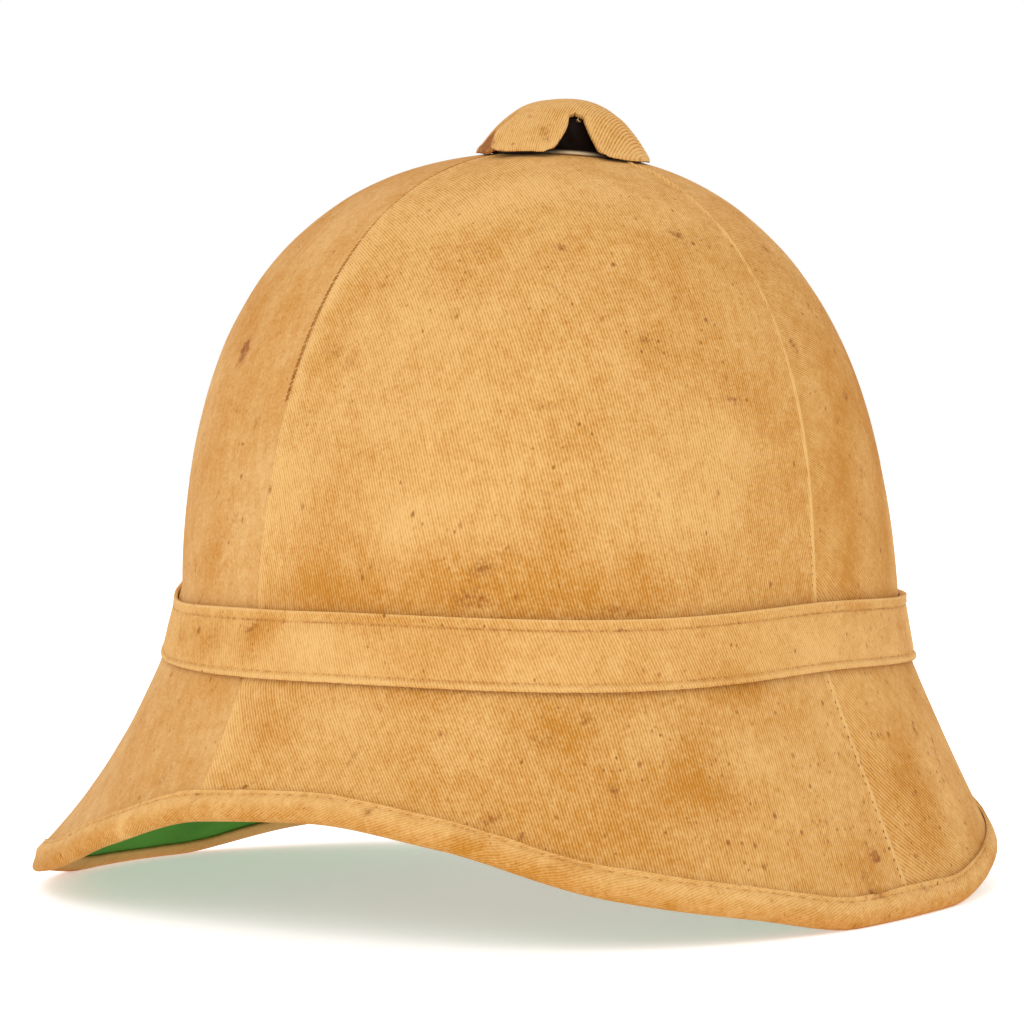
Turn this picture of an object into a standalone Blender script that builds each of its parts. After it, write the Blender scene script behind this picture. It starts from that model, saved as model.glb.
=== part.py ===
"""A cloth-covered pith helmet with a band, a bound brim and a five-petalled vent cap on its crown.

Metres, +Z up. The wearer looks along -Y and their left hand is at +X. Every piece is worked out in the
helmet's own frame, whose XY plane holds the top line of the hat band, and hangs from one empty, "stand",
which leans the helmet back until it stands on the tip of its peak and the back of its brim at Z = 0.

The whole helmet follows one smooth outer skin. A point of the skin has an angle round the head, from
the front over the left side to the back, and a climb: 0 at the rim, 1 at the foot of the band, 2 at the
top of the band and 3 at the vent hole. Each piece is a sheet at its own depth under the skin.
"""
import math

import bmesh
import bpy
import numpy as np

MM = 0.001

# the crown above the band: half sizes at the band, height, and how full each side is
CROWN_FRONT = 122.2 * MM
CROWN_BACK = 87.8 * MM
CROWN_SIDE = 108.4 * MM
CROWN_HEIGHT = 136.3 * MM
CROWN_APEX_SHIFT = -10.6 * MM     # the top lies a little ahead of the widest point
CROWN_SQUARE_FRONT = 2.42         # power of the outline seen from above, 2 is an ellipse
CROWN_SQUARE_BACK = 2.4
CROWN_RISE_FRONT = (2.70, 2.40)   # powers of the profile: of the height, of the radius
CROWN_RISE_SIDE = (1.44, 2.47)
CROWN_RISE_BACK = (2.95, 2.07)

# the rim of the brim: half sizes and squareness seen from above
RIM_FRONT = 200 * MM
RIM_BACK = 126.5 * MM
RIM_SIDE = 130 * MM
RIM_SQUARE_FRONT = 2.05
RIM_SQUARE_BACK = 2.32
BRIM_CURL = 0.21                  # how much steeper the brim starts than it ends
BRIM_CURL_FRONT = 0.205           # more of it towards the peak

# height of the rim over the table: degrees round from the front, height
RIM_HEIGHTS = (
    (0, 2.6 * MM), (6, 2.6 * MM), (20, 9.2 * MM), (35, 13.5 * MM), (50, 23.6 * MM), (70, 34.0 * MM),
    (90, 35.5 * MM), (110, 29.3 * MM), (130, 15.8 * MM), (150, 7.0 * MM), (169, 0.0), (180, 0.0),
)
LEAN = math.radians(3.75)         # how far the helmet leans back on the table
TABLE_DROP = 95.8 * MM            # the table under the top line of the band, straight down
PRESS = 0.7 * MM                  # the rim's soft edge is pressed this flat where it stands

# the hat band: its height, how much wider its foot is, and (waves round the head, height) of its sway
BAND_HEIGHT = 20 * MM
BAND_FLARE = 4.5 * MM
BAND_SWAY = ((2, 2.6 * MM), (3, 1.6 * MM), (4, 1.2 * MM))

# thickness of each layer, and the gap left between neighbours
CLOTH = 0.8 * MM
PITH = 3.0 * MM
LINING = 0.6 * MM
BAND = 1.6 * MM
BINDING = 0.9 * MM
GAP = 0.3 * MM

# the edge binding: how far its two legs climb from the rim, and where its round fold is centred
BINDING_OUTER_LEG = 9.4 * MM
BINDING_INNER_LEG = 11.5 * MM
BINDING_CENTRE = 5.4 * MM
BINDING_FOLD_STEPS = 6
COVER_INSET = 5.2 * MM            # the sewn sheets end this far above the rim, inside the binding
PITH_INSET = 4.0 * MM

# the vent: hole, collar and the petalled cap over it
VENT_RADIUS = 13 * MM
COLLAR_RADIUS = 23 * MM
COLLAR_NECK_RADIUS = 15 * MM
COLLAR_NECK_HEIGHT = 9 * MM
COLLAR_WALL = 1.0 * MM
CAP_RADIUS = 27.4 * MM
CAP_HEIGHT = 16.5 * MM            # over the top of the crown
CAP_WALL = 1.6 * MM
CAP_CLEARANCE = 1.1 * MM          # the petals' feet hang this far over the crown
CAP_PROFILE = (2.4, 1.1)          # powers of the dome: of the radius, of the height
# the slits between its petals: degrees round from the front, what each widens by at the foot
SLITS = ((140, 3.2 * MM), (212, 2.0 * MM), (284, 2.4 * MM), (356, 2.0 * MM), (68, 1.2 * MM))
SLIT_HEIGHT = 13.4 * MM           # of its straight-topped part, over the cap's foot
SLIT_TOP = 2.2 * MM               # half its width at the top
SLIT_BELL = 1.6                   # power of the widening
SLIT_SHOULDER = 0.7 * MM          # its top is bevelled by this much, down to a share of its width
SLIT_SHOULDER_WIDTH = 0.55
SLIT_BELOW = 4 * MM               # the cut runs on this far under the cap's foot
SLIT_FROM = 0.45                  # and from here to there, in cap radii
SLIT_TO = 1.25

# how finely the skin is divided
SIDE_SEAM = math.radians(69.7)    # the seam over each ear
FRONT_COLUMNS = 11                # from the front seam to a side seam
BACK_COLUMNS = 15
CROWN_ROWS = 9
BRIM_CLIMBS = (0.28, 0.52, 0.76, 1.0)
BAND_CLIMBS = (1.0, 1.5, 1.999)   # the band stops just under the line where the crown begins
CAP_COLUMNS = 30
CAP_ROWS = 7
SLIT_ROWS = 6

# how finely the formulas are worked out
HALVINGS = 40
SKIN_STEP = 1e-4                  # radians, and climb

# colour, roughness and metallic value of each kind of piece
TAN_DRILL = ((0.73, 0.40, 0.14), 0.9, 0.0)
TAN_TWILL = ((0.76, 0.44, 0.17), 0.9, 0.0)
RAW_PITH = ((0.62, 0.50, 0.33), 0.95, 0.0)
GREEN_COTTON = ((0.04, 0.17, 0.03), 0.9, 0.0)
PALE_TIN = ((0.45, 0.40, 0.30), 0.5, 0.6)


# ---------------------------------------------------------------- the skin

def outline(angle, front, back, side, square_front, square_back):
    """Superellipse round the head in polar form: 1 / r**n = |sin / side|**n + |cos / length|**n."""
    ahead = np.cos(angle) > 0
    power = np.where(ahead, square_front, square_back)
    length = np.where(ahead, front, back)
    across = np.abs(np.sin(angle) / side) ** power
    along = np.abs(np.cos(angle) / length) ** power
    radius = (across + along) ** (-1 / power)
    return radius * np.sin(angle), -radius * np.cos(angle)


def profile(height, powers):
    """How far in the crown has come at a height from 0 to 1: (1 - height**p)**(1 / q)."""
    return (1 - height ** powers[0]) ** (1 / powers[1])


def band_sway(angle):
    """How far the band's line lies over or under its mean level."""
    return sum(rise * np.cos(waves * angle) for waves, rise in BAND_SWAY)


def crown_plan(angle, height):
    """Plan of the crown at a height from 0 to 1, measured from its own axis."""
    x, y = outline(angle, CROWN_FRONT, CROWN_BACK, CROWN_SIDE, CROWN_SQUARE_FRONT, CROWN_SQUARE_BACK)
    along = np.where(np.cos(angle) > 0, profile(height, CROWN_RISE_FRONT), profile(height, CROWN_RISE_BACK))
    return x * profile(height, CROWN_RISE_SIDE), y * along


def highest(shape, reaches):
    """The greatest height from 0 to 1 at which the crown still reaches, by halving the bracket."""
    low = np.zeros(shape)
    high = np.ones(shape)
    for _ in range(HALVINGS):
        middle = (low + high) / 2
        inside = reaches(middle)
        low = np.where(inside, middle, low)
        high = np.where(inside, high, middle)
    return low


def crown(angle, height):
    """Skin of the crown: its plan pulled in by the profile, its axis sliding to the apex."""
    x, y = crown_plan(angle, height)
    z = CROWN_HEIGHT * height + band_sway(angle) * (1 - height)
    return np.stack([x, y + CROWN_APEX_SHIFT * height, z], axis=-1)


def band_zone(angle, down):
    """Skin under the band, from its top line at 0 to its foot at 1, widening evenly."""
    wider = BAND_FLARE * down
    x, y = outline(angle, CROWN_FRONT + wider, CROWN_BACK + wider, CROWN_SIDE + wider,
                   CROWN_SQUARE_FRONT, CROWN_SQUARE_BACK)
    return np.stack([x, y, band_sway(angle) - BAND_HEIGHT * down], axis=-1)


def rim_height(angle):
    """Height of the rim over the table, through the rows of the table with level ends (Hermite)."""
    turn = np.degrees(np.abs((angle + np.pi) % (2 * np.pi) - np.pi))
    at, value = np.array(RIM_HEIGHTS).T
    slope = np.diff(value) / np.diff(at)
    same_way = slope[:-1] * slope[1:] > 0
    both = np.where(same_way, slope[:-1] + slope[1:], 1)
    inner = np.where(same_way, 2 * slope[:-1] * slope[1:] / both, 0)
    tangent = np.concatenate([[0], inner, [0]])
    i = np.clip(np.searchsorted(at, turn, side="right") - 1, 0, len(at) - 2)
    span = at[i + 1] - at[i]
    t = (turn - at[i]) / span
    start = (1 + 2 * t) * (1 - t) ** 2 * value[i] + t * (1 - t) ** 2 * span * tangent[i]
    end = t * t * (3 - 2 * t) * value[i + 1] + t * t * (t - 1) * span * tangent[i + 1]
    return start + end


def rim(angle):
    """The lowest line of the brim, at its height over the leaning table."""
    x, y = outline(angle, RIM_FRONT, RIM_BACK, RIM_SIDE, RIM_SQUARE_FRONT, RIM_SQUARE_BACK)
    z = y * math.tan(LEAN) - TABLE_DROP + rim_height(angle) / math.cos(LEAN)
    return np.stack([x, y, z], axis=-1)


def brim_curl(angle):
    return BRIM_CURL + BRIM_CURL_FRONT * np.cos(angle)


def brim(angle, out):
    """Skin of the brim, from the band's foot at 0 to the rim at 1: it flares late by its curl."""
    foot = band_zone(angle, np.ones(np.shape(angle)))
    reach = rim(angle) - foot
    late = out - brim_curl(angle) * out * (1 - out)
    return foot + reach * np.stack([late, late, out], axis=-1)


def crown_climb(angle, climb):
    """Height on the crown for a climb from 2 to 3: even steps of a quarter turn up to the vent hole."""
    hole = highest(np.shape(angle), lambda height: np.hypot(*crown_plan(angle, height)) > VENT_RADIUS)
    return np.sin(np.arcsin(hole) * np.clip(climb - 2, 0, 1))


def skin(angle, climb):
    """A point of the outer skin at an angle round the head and a climb from the rim, 0 to 3."""
    angle, climb = np.broadcast_arrays(angle, climb)
    low = brim(angle, np.clip(1 - climb, 0, 1))
    middle = band_zone(angle, np.clip(2 - climb, 0, 1))
    high = crown(angle, crown_climb(angle, climb))
    zone = climb[..., None]
    return np.where(zone < 1, low, np.where(zone < 2, middle, high))


def outward(angle, climb):
    """Unit normal of the skin, from the cross product of its two directions."""
    below = np.clip(climb - SKIN_STEP, 0, 3)
    above = np.clip(climb + SKIN_STEP, 0, 3)
    round_head = skin(angle + SKIN_STEP, climb) - skin(angle - SKIN_STEP, climb)
    up = skin(angle, above) - skin(angle, below)
    normal = np.cross(round_head, up)
    return normal / np.linalg.norm(normal, axis=-1, keepdims=True)


def sheet_points(angle, climb, depth):
    """The skin moved inward by a depth."""
    angle, climb, depth = np.broadcast_arrays(angle, climb, depth)
    return skin(angle, climb) - depth[..., None] * outward(angle, climb)


def climb_from_rim(angle, distance):
    """Climb of a point a distance up from the rim, from how fast the brim's skin runs there."""
    foot = band_zone(angle, np.ones(np.shape(angle)))
    speed = (rim(angle) - foot) * np.stack([1 + brim_curl(angle)] * 2 + [np.ones(np.shape(angle))], axis=-1)
    return distance / np.linalg.norm(speed, axis=-1)


def over_crown(angle, radius, lift):
    """A point over the crown's top, in a direction seen from above, at a radius from the crown's axis."""
    angle, radius, lift = np.broadcast_arrays(angle, radius, lift)
    ahead = np.cos(angle) > 0
    power = np.where(ahead, CROWN_SQUARE_FRONT, CROWN_SQUARE_BACK)
    x = radius * np.sin(angle)
    y = -radius * np.cos(angle)

    def reaches(height):
        along = np.where(ahead, CROWN_FRONT * profile(height, CROWN_RISE_FRONT),
                         CROWN_BACK * profile(height, CROWN_RISE_BACK))
        across = CROWN_SIDE * profile(height, CROWN_RISE_SIDE)
        return np.abs(x / across) ** power + np.abs(y / along) ** power < 1

    height = highest(np.shape(angle), reaches)
    z = CROWN_HEIGHT * height + band_sway(angle) * (1 - height) + lift
    return np.stack([x, y + CROWN_APEX_SHIFT * height, z], axis=-1)


def press_flat(points):
    """Points under the table are moved up to it, square to the table."""
    square = np.array([0, -math.sin(LEAN), math.cos(LEAN)])
    height = points @ square + TABLE_DROP * math.cos(LEAN) - PRESS
    return points + np.maximum(-height, 0)[..., None] * square


# ---------------------------------------------------------------- making objects

def clear_scene():
    for old in list(bpy.data.objects):
        bpy.data.objects.remove(old, do_unlink=True)


def make_material(name, finish):
    colour, roughness, metallic = finish
    material = bpy.data.materials.new(name)
    material.use_nodes = True
    shader = material.node_tree.nodes["Principled BSDF"]
    shader.inputs["Base Color"].default_value = (*colour, 1)
    shader.inputs["Roughness"].default_value = roughness
    shader.inputs["Metallic"].default_value = metallic
    return material


def make_collection(name):
    collection = bpy.data.collections.new(name)
    bpy.context.scene.collection.children.link(collection)
    return collection


def make_object(name, mesh, collection, finish, stand):
    mesh.shade_smooth()
    piece = bpy.data.objects.new(name, mesh)
    piece.data.materials.append(make_material(name, finish))
    piece.parent = stand
    collection.objects.link(piece)
    return piece


def grid_mesh(name, points, closed):
    """Quads over a grid of rows and columns; a closed grid joins its last column to its first."""
    rows, columns = points.shape[:2]
    index = np.arange(rows * columns).reshape(rows, columns)
    right = np.roll(index, -1, axis=1)
    if not closed:
        index, right = index[:, :-1], right[:, :-1]
    quads = np.stack([index[:-1], right[:-1], right[1:], index[1:]], axis=-1).reshape(-1, 4)
    mesh = bpy.data.meshes.new(name)
    mesh.from_pydata(points.reshape(-1, 3).tolist(), [], quads.tolist())
    return mesh


def thicken(piece, thickness):
    """Gives a sheet its wall, inward from the modelled side."""
    wall = piece.modifiers.new("wall", "SOLIDIFY")
    wall.thickness = thickness
    wall.offset = -1
    wall.use_even_offset = True


# ---------------------------------------------------------------- the pieces

def round_angles():
    """Angles of the columns all round the head, with a column on each of the four seams."""
    front = np.linspace(0, SIDE_SEAM, FRONT_COLUMNS + 1)[:-1]
    back = np.linspace(SIDE_SEAM, np.pi, BACK_COLUMNS + 1)
    left = np.concatenate([front, back])
    return np.concatenate([left, 2 * np.pi - left[-2:0:-1]])


def climbs(angle, inset, last):
    """Rows of climbs from an inset above the rim up to the last climb, for each column."""
    first = climb_from_rim(angle, inset)
    crown_rows = np.linspace(2, 3, CROWN_ROWS + 1)
    rows = np.concatenate([BRIM_CLIMBS, crown_rows])
    rows = rows[rows <= last]
    return np.concatenate([first[None], np.repeat(rows[:, None], len(angle), axis=1)])


def pith_shell(collection, stand):
    """The moulded pith body: brim, band zone and crown in one shell, open below and at the vent."""
    angle = round_angles()
    points = sheet_points(angle, climbs(angle, PITH_INSET, 3), CLOTH + GAP)
    shell = make_object("pith_shell", grid_mesh("pith_shell", points, True), collection, RAW_PITH, stand)
    thicken(shell, PITH)


def cover_gore(name, start, end, columns, collection, stand):
    """One of the four gores of drill over the shell, from seam to seam and from rim to vent."""
    angle = np.linspace(start, end, columns + 1)
    climb = climbs(angle, COVER_INSET, 3)
    angle = np.repeat(angle[None], len(climb), axis=0)
    reach = np.hypot(*np.moveaxis(skin(angle, climb)[..., :2], -1, 0))
    angle[:, 0] += GAP / 2 / reach[:, 0]
    angle[:, -1] -= GAP / 2 / reach[:, -1]
    mesh = grid_mesh(name, sheet_points(angle, climb, 0), False)
    gore = make_object(name, mesh, collection, TAN_DRILL, stand)
    thicken(gore, CLOTH)


def brim_lining(collection, stand):
    """The green cotton under the brim, from inside the binding up to the band."""
    angle = round_angles()
    depth = CLOTH + PITH + 2 * GAP
    points = sheet_points(angle, climbs(angle, COVER_INSET, 1), depth)
    mesh = grid_mesh("brim_lining", points, True)
    lining = make_object("brim_lining", mesh, collection, GREEN_COTTON, stand)
    thicken(lining, LINING)


def hat_band(collection, stand):
    """The folded cloth band round the foot of the crown."""
    angle = round_angles()
    climb = np.repeat(np.array(BAND_CLIMBS)[:, None], len(angle), axis=1)
    points = sheet_points(angle, climb, -GAP - BAND)
    band = make_object("hat_band", grid_mesh("hat_band", points, True), collection, TAN_TWILL, stand)
    thicken(band, BAND)


def binding_section():
    """Distances from the rim and depths of the binding's outside, from its inner leg to its outer one."""
    outside = -GAP - BINDING
    inside = CLOTH + PITH + LINING + 3 * GAP + BINDING
    radius = (inside - outside) / 2
    turn = np.linspace(np.pi, 0, BINDING_FOLD_STEPS + 1)
    fold_distance = BINDING_CENTRE - radius * np.sin(turn)
    fold_depth = (inside + outside) / 2 - radius * np.cos(turn)
    distance = np.concatenate([[BINDING_INNER_LEG], fold_distance, [BINDING_OUTER_LEG]])
    depth = np.concatenate([[inside], fold_depth, [outside]])
    return distance, depth[:, None]


def edge_binding(collection, stand):
    """The bias strip folded round the rim, pressed flat where the helmet stands on it."""
    angle = round_angles()
    distance, depth = binding_section()
    climb = np.stack([climb_from_rim(angle, reach) for reach in distance])
    points = press_flat(sheet_points(angle, climb, depth))
    mesh = grid_mesh("edge_binding", points, True)
    binding = make_object("edge_binding", mesh, collection, TAN_TWILL, stand)
    thicken(binding, BINDING)
    return points


def vent_collar(collection, stand):
    """A thin flange on the crown round the vent hole, with a neck that ends just under the cap."""
    angle = np.linspace(0, 2 * np.pi, CAP_COLUMNS, endpoint=False)
    base = GAP + COLLAR_WALL
    radius = np.array([COLLAR_RADIUS, COLLAR_NECK_RADIUS, COLLAR_NECK_RADIUS])[:, None]
    lift = np.array([base, base, base + COLLAR_NECK_HEIGHT])[:, None]
    points = over_crown(angle, radius, lift)
    collar = make_object("vent_collar", grid_mesh("vent_collar", points, True), collection, PALE_TIN, stand)
    thicken(collar, COLLAR_WALL)


def cap_dome():
    """Grid of the cap's outside, from its foot on the crown up to a small ring round its top."""
    angle = np.linspace(0, 2 * np.pi, CAP_COLUMNS, endpoint=False)
    foot = over_crown(angle, CAP_RADIUS - CAP_WALL, CAP_CLEARANCE)[:, 2]
    inward = np.cos(np.linspace(0, 1, CAP_ROWS + 1)[:-1] * np.pi / 2)[:, None]
    top = CROWN_HEIGHT + CAP_HEIGHT
    z = foot + (top - foot) * profile(inward, CAP_PROFILE)
    x = CAP_RADIUS * inward * np.sin(angle)
    y = CROWN_APEX_SHIFT - CAP_RADIUS * inward * np.cos(angle)
    return np.stack([x + 0 * z, y + 0 * z, z], axis=-1)


def close_top(mesh):
    """Fills the ring of open edges round the top with a fan to a new middle vertex."""
    shape = bmesh.new()
    shape.from_mesh(mesh)
    shape.verts.ensure_lookup_table()
    ring = shape.verts[-CAP_COLUMNS:]
    middle = shape.verts.new((0, CROWN_APEX_SHIFT, CROWN_HEIGHT + CAP_HEIGHT))
    for i, vertex in enumerate(ring):
        shape.faces.new((vertex, ring[(i + 1) % CAP_COLUMNS], middle))
    shape.to_mesh(mesh)
    shape.free()


def slit_cutter(angle, widen, collection, stand):
    """A bell-shaped prism that opens one slit, from the cap's foot up to its shoulder."""
    down = np.linspace(0, 1, SLIT_ROWS)
    half = SLIT_TOP + widen * down ** SLIT_BELL
    foot = over_crown(np.array(angle), CAP_RADIUS, 0)[2]
    z = foot + SLIT_HEIGHT * (1 - down)
    narrow = half[0] * SLIT_SHOULDER_WIDTH
    top = z[0] + SLIT_SHOULDER
    shoulder = [(-narrow, top), (narrow, top)]
    right = list(zip(half, z)) + [(half[-1], foot - SLIT_BELOW)]
    left = [(-side, level) for side, level in reversed(right)]
    shape = bmesh.new()
    near = CAP_RADIUS * SLIT_FROM
    far = CAP_RADIUS * SLIT_TO
    vertices = [shape.verts.new((side, -near, level)) for side, level in shoulder + right + left]
    face = shape.faces.new(vertices)
    grown = bmesh.ops.extrude_face_region(shape, geom=[face])
    moved = [part for part in grown["geom"] if isinstance(part, bmesh.types.BMVert)]
    bmesh.ops.translate(shape, verts=moved, vec=(0, near - far, 0))
    bmesh.ops.recalc_face_normals(shape, faces=shape.faces)
    mesh = bpy.data.meshes.new("slit")
    shape.to_mesh(mesh)
    shape.free()
    cutter = bpy.data.objects.new("slit", mesh)
    cutter.parent = stand
    cutter.location = (0, CROWN_APEX_SHIFT, 0)
    cutter.rotation_euler = (0, 0, angle)
    cutter.hide_render = True
    cutter.display_type = "WIRE"
    collection.objects.link(cutter)
    return cutter


def vent_cap(collection, cutters, stand):
    """The cloth cap over the vent: a low dome cut into petals whose feet stand on the crown."""
    mesh = grid_mesh("vent_cap", cap_dome(), True)
    close_top(mesh)
    cap = make_object("vent_cap", mesh, collection, TAN_TWILL, stand)
    thicken(cap, CAP_WALL)
    for degrees, widen in SLITS:
        cut = cap.modifiers.new("slit", "BOOLEAN")
        cut.operation = "DIFFERENCE"
        cut.solver = "EXACT"
        cut.object = slit_cutter(math.radians(degrees), widen, cutters, stand)


def stand_on_table(stand, rim_points):
    """Leans the helmet back onto the table and centres its plan on the origin."""
    y = rim_points[..., 1] * math.cos(LEAN) + rim_points[..., 2] * math.sin(LEAN)
    stand.rotation_euler = (-LEAN, 0, 0)
    stand.location = (0, -(y.min() + y.max()) / 2, TABLE_DROP * math.cos(LEAN) - PRESS)


def main():
    clear_scene()
    helmet = make_collection("pith_helmet")
    cutters = make_collection("cutters")
    stand = bpy.data.objects.new("stand", None)
    helmet.objects.link(stand)
    pith_shell(helmet, stand)
    cover_gore("cover_front_left", 0, SIDE_SEAM, FRONT_COLUMNS, helmet, stand)
    cover_gore("cover_back_left", SIDE_SEAM, np.pi, BACK_COLUMNS, helmet, stand)
    cover_gore("cover_back_right", np.pi, 2 * np.pi - SIDE_SEAM, BACK_COLUMNS, helmet, stand)
    cover_gore("cover_front_right", 2 * np.pi - SIDE_SEAM, 2 * np.pi, FRONT_COLUMNS, helmet, stand)
    brim_lining(helmet, stand)
    hat_band(helmet, stand)
    rim_points = edge_binding(helmet, stand)
    vent_collar(helmet, stand)
    vent_cap(helmet, cutters, stand)
    stand_on_table(stand, rim_points)
    bpy.context.view_layer.update()


main()
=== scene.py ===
# %% [markdown]
# # The looks of a cloth-covered pith helmet
#
# The imported CAD model gives the frame: ten plain solids at their real size. This script dresses each one:
# four gores of twilled cotton with their seams, a stitched band, a bias binding round the rim, a green
# lining, bare pith inside, and a cap of five cloth petals over the vent. Lengths are metres, +Z is up, the
# wearer looks along -Y and their left hand is at +X.
#
# The frame is loaded first, because every piece stands where a CAD solid stands.

import itertools
import math

import bpy
import numpy as np
from mathutils import Matrix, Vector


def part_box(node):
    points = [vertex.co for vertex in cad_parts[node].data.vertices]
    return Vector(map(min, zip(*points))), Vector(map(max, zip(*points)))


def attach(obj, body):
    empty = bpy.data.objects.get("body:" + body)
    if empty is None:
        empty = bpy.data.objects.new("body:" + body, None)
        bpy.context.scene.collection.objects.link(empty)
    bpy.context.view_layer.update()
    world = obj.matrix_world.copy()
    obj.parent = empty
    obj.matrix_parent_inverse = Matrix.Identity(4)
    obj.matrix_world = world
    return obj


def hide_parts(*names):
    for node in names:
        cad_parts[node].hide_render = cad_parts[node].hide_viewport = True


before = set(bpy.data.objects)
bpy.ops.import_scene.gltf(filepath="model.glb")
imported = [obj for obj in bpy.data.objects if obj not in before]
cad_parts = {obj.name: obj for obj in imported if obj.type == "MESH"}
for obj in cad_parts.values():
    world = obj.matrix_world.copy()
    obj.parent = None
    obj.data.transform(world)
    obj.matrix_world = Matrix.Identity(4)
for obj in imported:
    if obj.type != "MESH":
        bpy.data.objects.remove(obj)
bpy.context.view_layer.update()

MM = 0.001
BODY = "root"
print("nodes to dress:", ", ".join(sorted(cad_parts)))

# %% [markdown]
# ## The helmet's skin
#
# A pith helmet is one smooth moulded form, and its cloth, band, binding and lining all follow it. So
# the form is written once, as a function of two parameters: an angle round the head, from the front over
# the wearer's left side to the back, and a climb, which is 0 at the rim, 1 at the foot of the band, 2 at
# its top and 3 at the vent hole. Every piece is then a grid of points at its own depth under that skin.
# A sculpted mesh could have the same form, but could not be asked where "8 mm above the rim" is.

# %% driving sizes of the skin
CROWN_FRONT = 122.2 * MM
CROWN_BACK = 87.8 * MM
CROWN_SIDE = 108.4 * MM
CROWN_HEIGHT = 136.3 * MM
CROWN_APEX_SHIFT = -10.6 * MM
CROWN_SQUARE_FRONT = 2.42         # power of the outline seen from above, 2 is an ellipse
CROWN_SQUARE_BACK = 2.4
CROWN_RISE_FRONT = (2.70, 2.40)   # powers of the profile: of the height, of the radius
CROWN_RISE_SIDE = (1.44, 2.47)
CROWN_RISE_BACK = (2.95, 2.07)

RIM_FRONT = 200 * MM
RIM_BACK = 126.5 * MM
RIM_SIDE = 130 * MM
RIM_SQUARE_FRONT = 2.05
RIM_SQUARE_BACK = 2.32
BRIM_CURL = 0.21                  # how much steeper the brim starts than it ends
BRIM_CURL_FRONT = 0.205           # more of it towards the peak

# height of the rim over the table: degrees round from the front, height
RIM_HEIGHTS = (
    (0, 2.6 * MM), (6, 2.6 * MM), (20, 9.2 * MM), (35, 13.5 * MM), (50, 23.6 * MM), (70, 34.0 * MM),
    (90, 35.5 * MM), (110, 29.3 * MM), (130, 15.8 * MM), (150, 7.0 * MM), (169, 0.0), (180, 0.0),
)
LEAN = math.radians(3.75)         # how far the helmet leans back on the table
TABLE_DROP = 95.8 * MM            # the table under the top line of the band, straight down
PRESS = 0.7 * MM                  # the rim's soft edge is pressed this flat where it stands

BAND_HEIGHT = 20 * MM
BAND_FLARE = 4.5 * MM
BAND_SWAY = ((2, 2.6 * MM), (3, 1.6 * MM), (4, 1.2 * MM))    # waves round the head, height

CLOTH = 0.8 * MM
PITH = 3.0 * MM
LINING = 0.6 * MM
BINDING = 0.9 * MM
GAP = 0.3 * MM                    # left between neighbouring layers

VENT_RADIUS = 13 * MM
SIDE_SEAM = math.radians(69.7)    # the seam over each ear
HALVINGS = 40
SKIN_STEP = 1e-4                  # radians, and climb, used for slopes


# %% [markdown]
# Seen from above, the crown is a superellipse, squarer than an ellipse, and it shrinks upward by one profile
# at the front, one at the sides and one at the back. Under it the band's zone widens evenly.

# %% the crown and the band's zone
def outline(angle, front, back, side, square_front, square_back):
    """Superellipse round the head in polar form: 1 / r**n = |sin / side|**n + |cos / length|**n."""
    ahead = np.cos(angle) > 0
    power = np.where(ahead, square_front, square_back)
    length = np.where(ahead, front, back)
    across = np.abs(np.sin(angle) / side) ** power
    along = np.abs(np.cos(angle) / length) ** power
    radius = (across + along) ** (-1 / power)
    return radius * np.sin(angle), -radius * np.cos(angle)


def profile(height, powers):
    """How far in the crown has come at a height from 0 to 1: (1 - height**p)**(1 / q)."""
    return (1 - height ** powers[0]) ** (1 / powers[1])


def band_sway(angle):
    """How far the band's line lies over or under its mean level: a sum of cosines."""
    return sum(rise * np.cos(waves * angle) for waves, rise in BAND_SWAY)


def crown_plan(angle, height):
    """Plan of the crown at a height from 0 to 1, measured from its own axis."""
    x, y = outline(angle, CROWN_FRONT, CROWN_BACK, CROWN_SIDE, CROWN_SQUARE_FRONT, CROWN_SQUARE_BACK)
    along = np.where(np.cos(angle) > 0, profile(height, CROWN_RISE_FRONT), profile(height, CROWN_RISE_BACK))
    return x * profile(height, CROWN_RISE_SIDE), y * along


def highest(shape, reaches):
    """The greatest height from 0 to 1 at which the crown still reaches, by halving the bracket."""
    low, high = np.zeros(shape), np.ones(shape)
    for _ in range(HALVINGS):
        middle = (low + high) / 2
        inside = reaches(middle)
        low, high = np.where(inside, middle, low), np.where(inside, high, middle)
    return low


def crown(angle, height):
    """Skin of the crown: its plan pulled in by the profile, its axis sliding to the apex."""
    x, y = crown_plan(angle, height)
    z = CROWN_HEIGHT * height + band_sway(angle) * (1 - height)
    return np.stack([x, y + CROWN_APEX_SHIFT * height, z], axis=-1)


def band_zone(angle, down):
    """Skin under the band, from its top line at 0 to its foot at 1, widening evenly."""
    wider = BAND_FLARE * down
    x, y = outline(angle, CROWN_FRONT + wider, CROWN_BACK + wider, CROWN_SIDE + wider,
                   CROWN_SQUARE_FRONT, CROWN_SQUARE_BACK)
    return np.stack([x, y, band_sway(angle) - BAND_HEIGHT * down], axis=-1)


# %% [markdown]
# The rim is low at the front and the back and high over the ears, so its height is a smooth curve through a
# few heights round the head. Between band and rim the brim starts steep and flares late.

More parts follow.
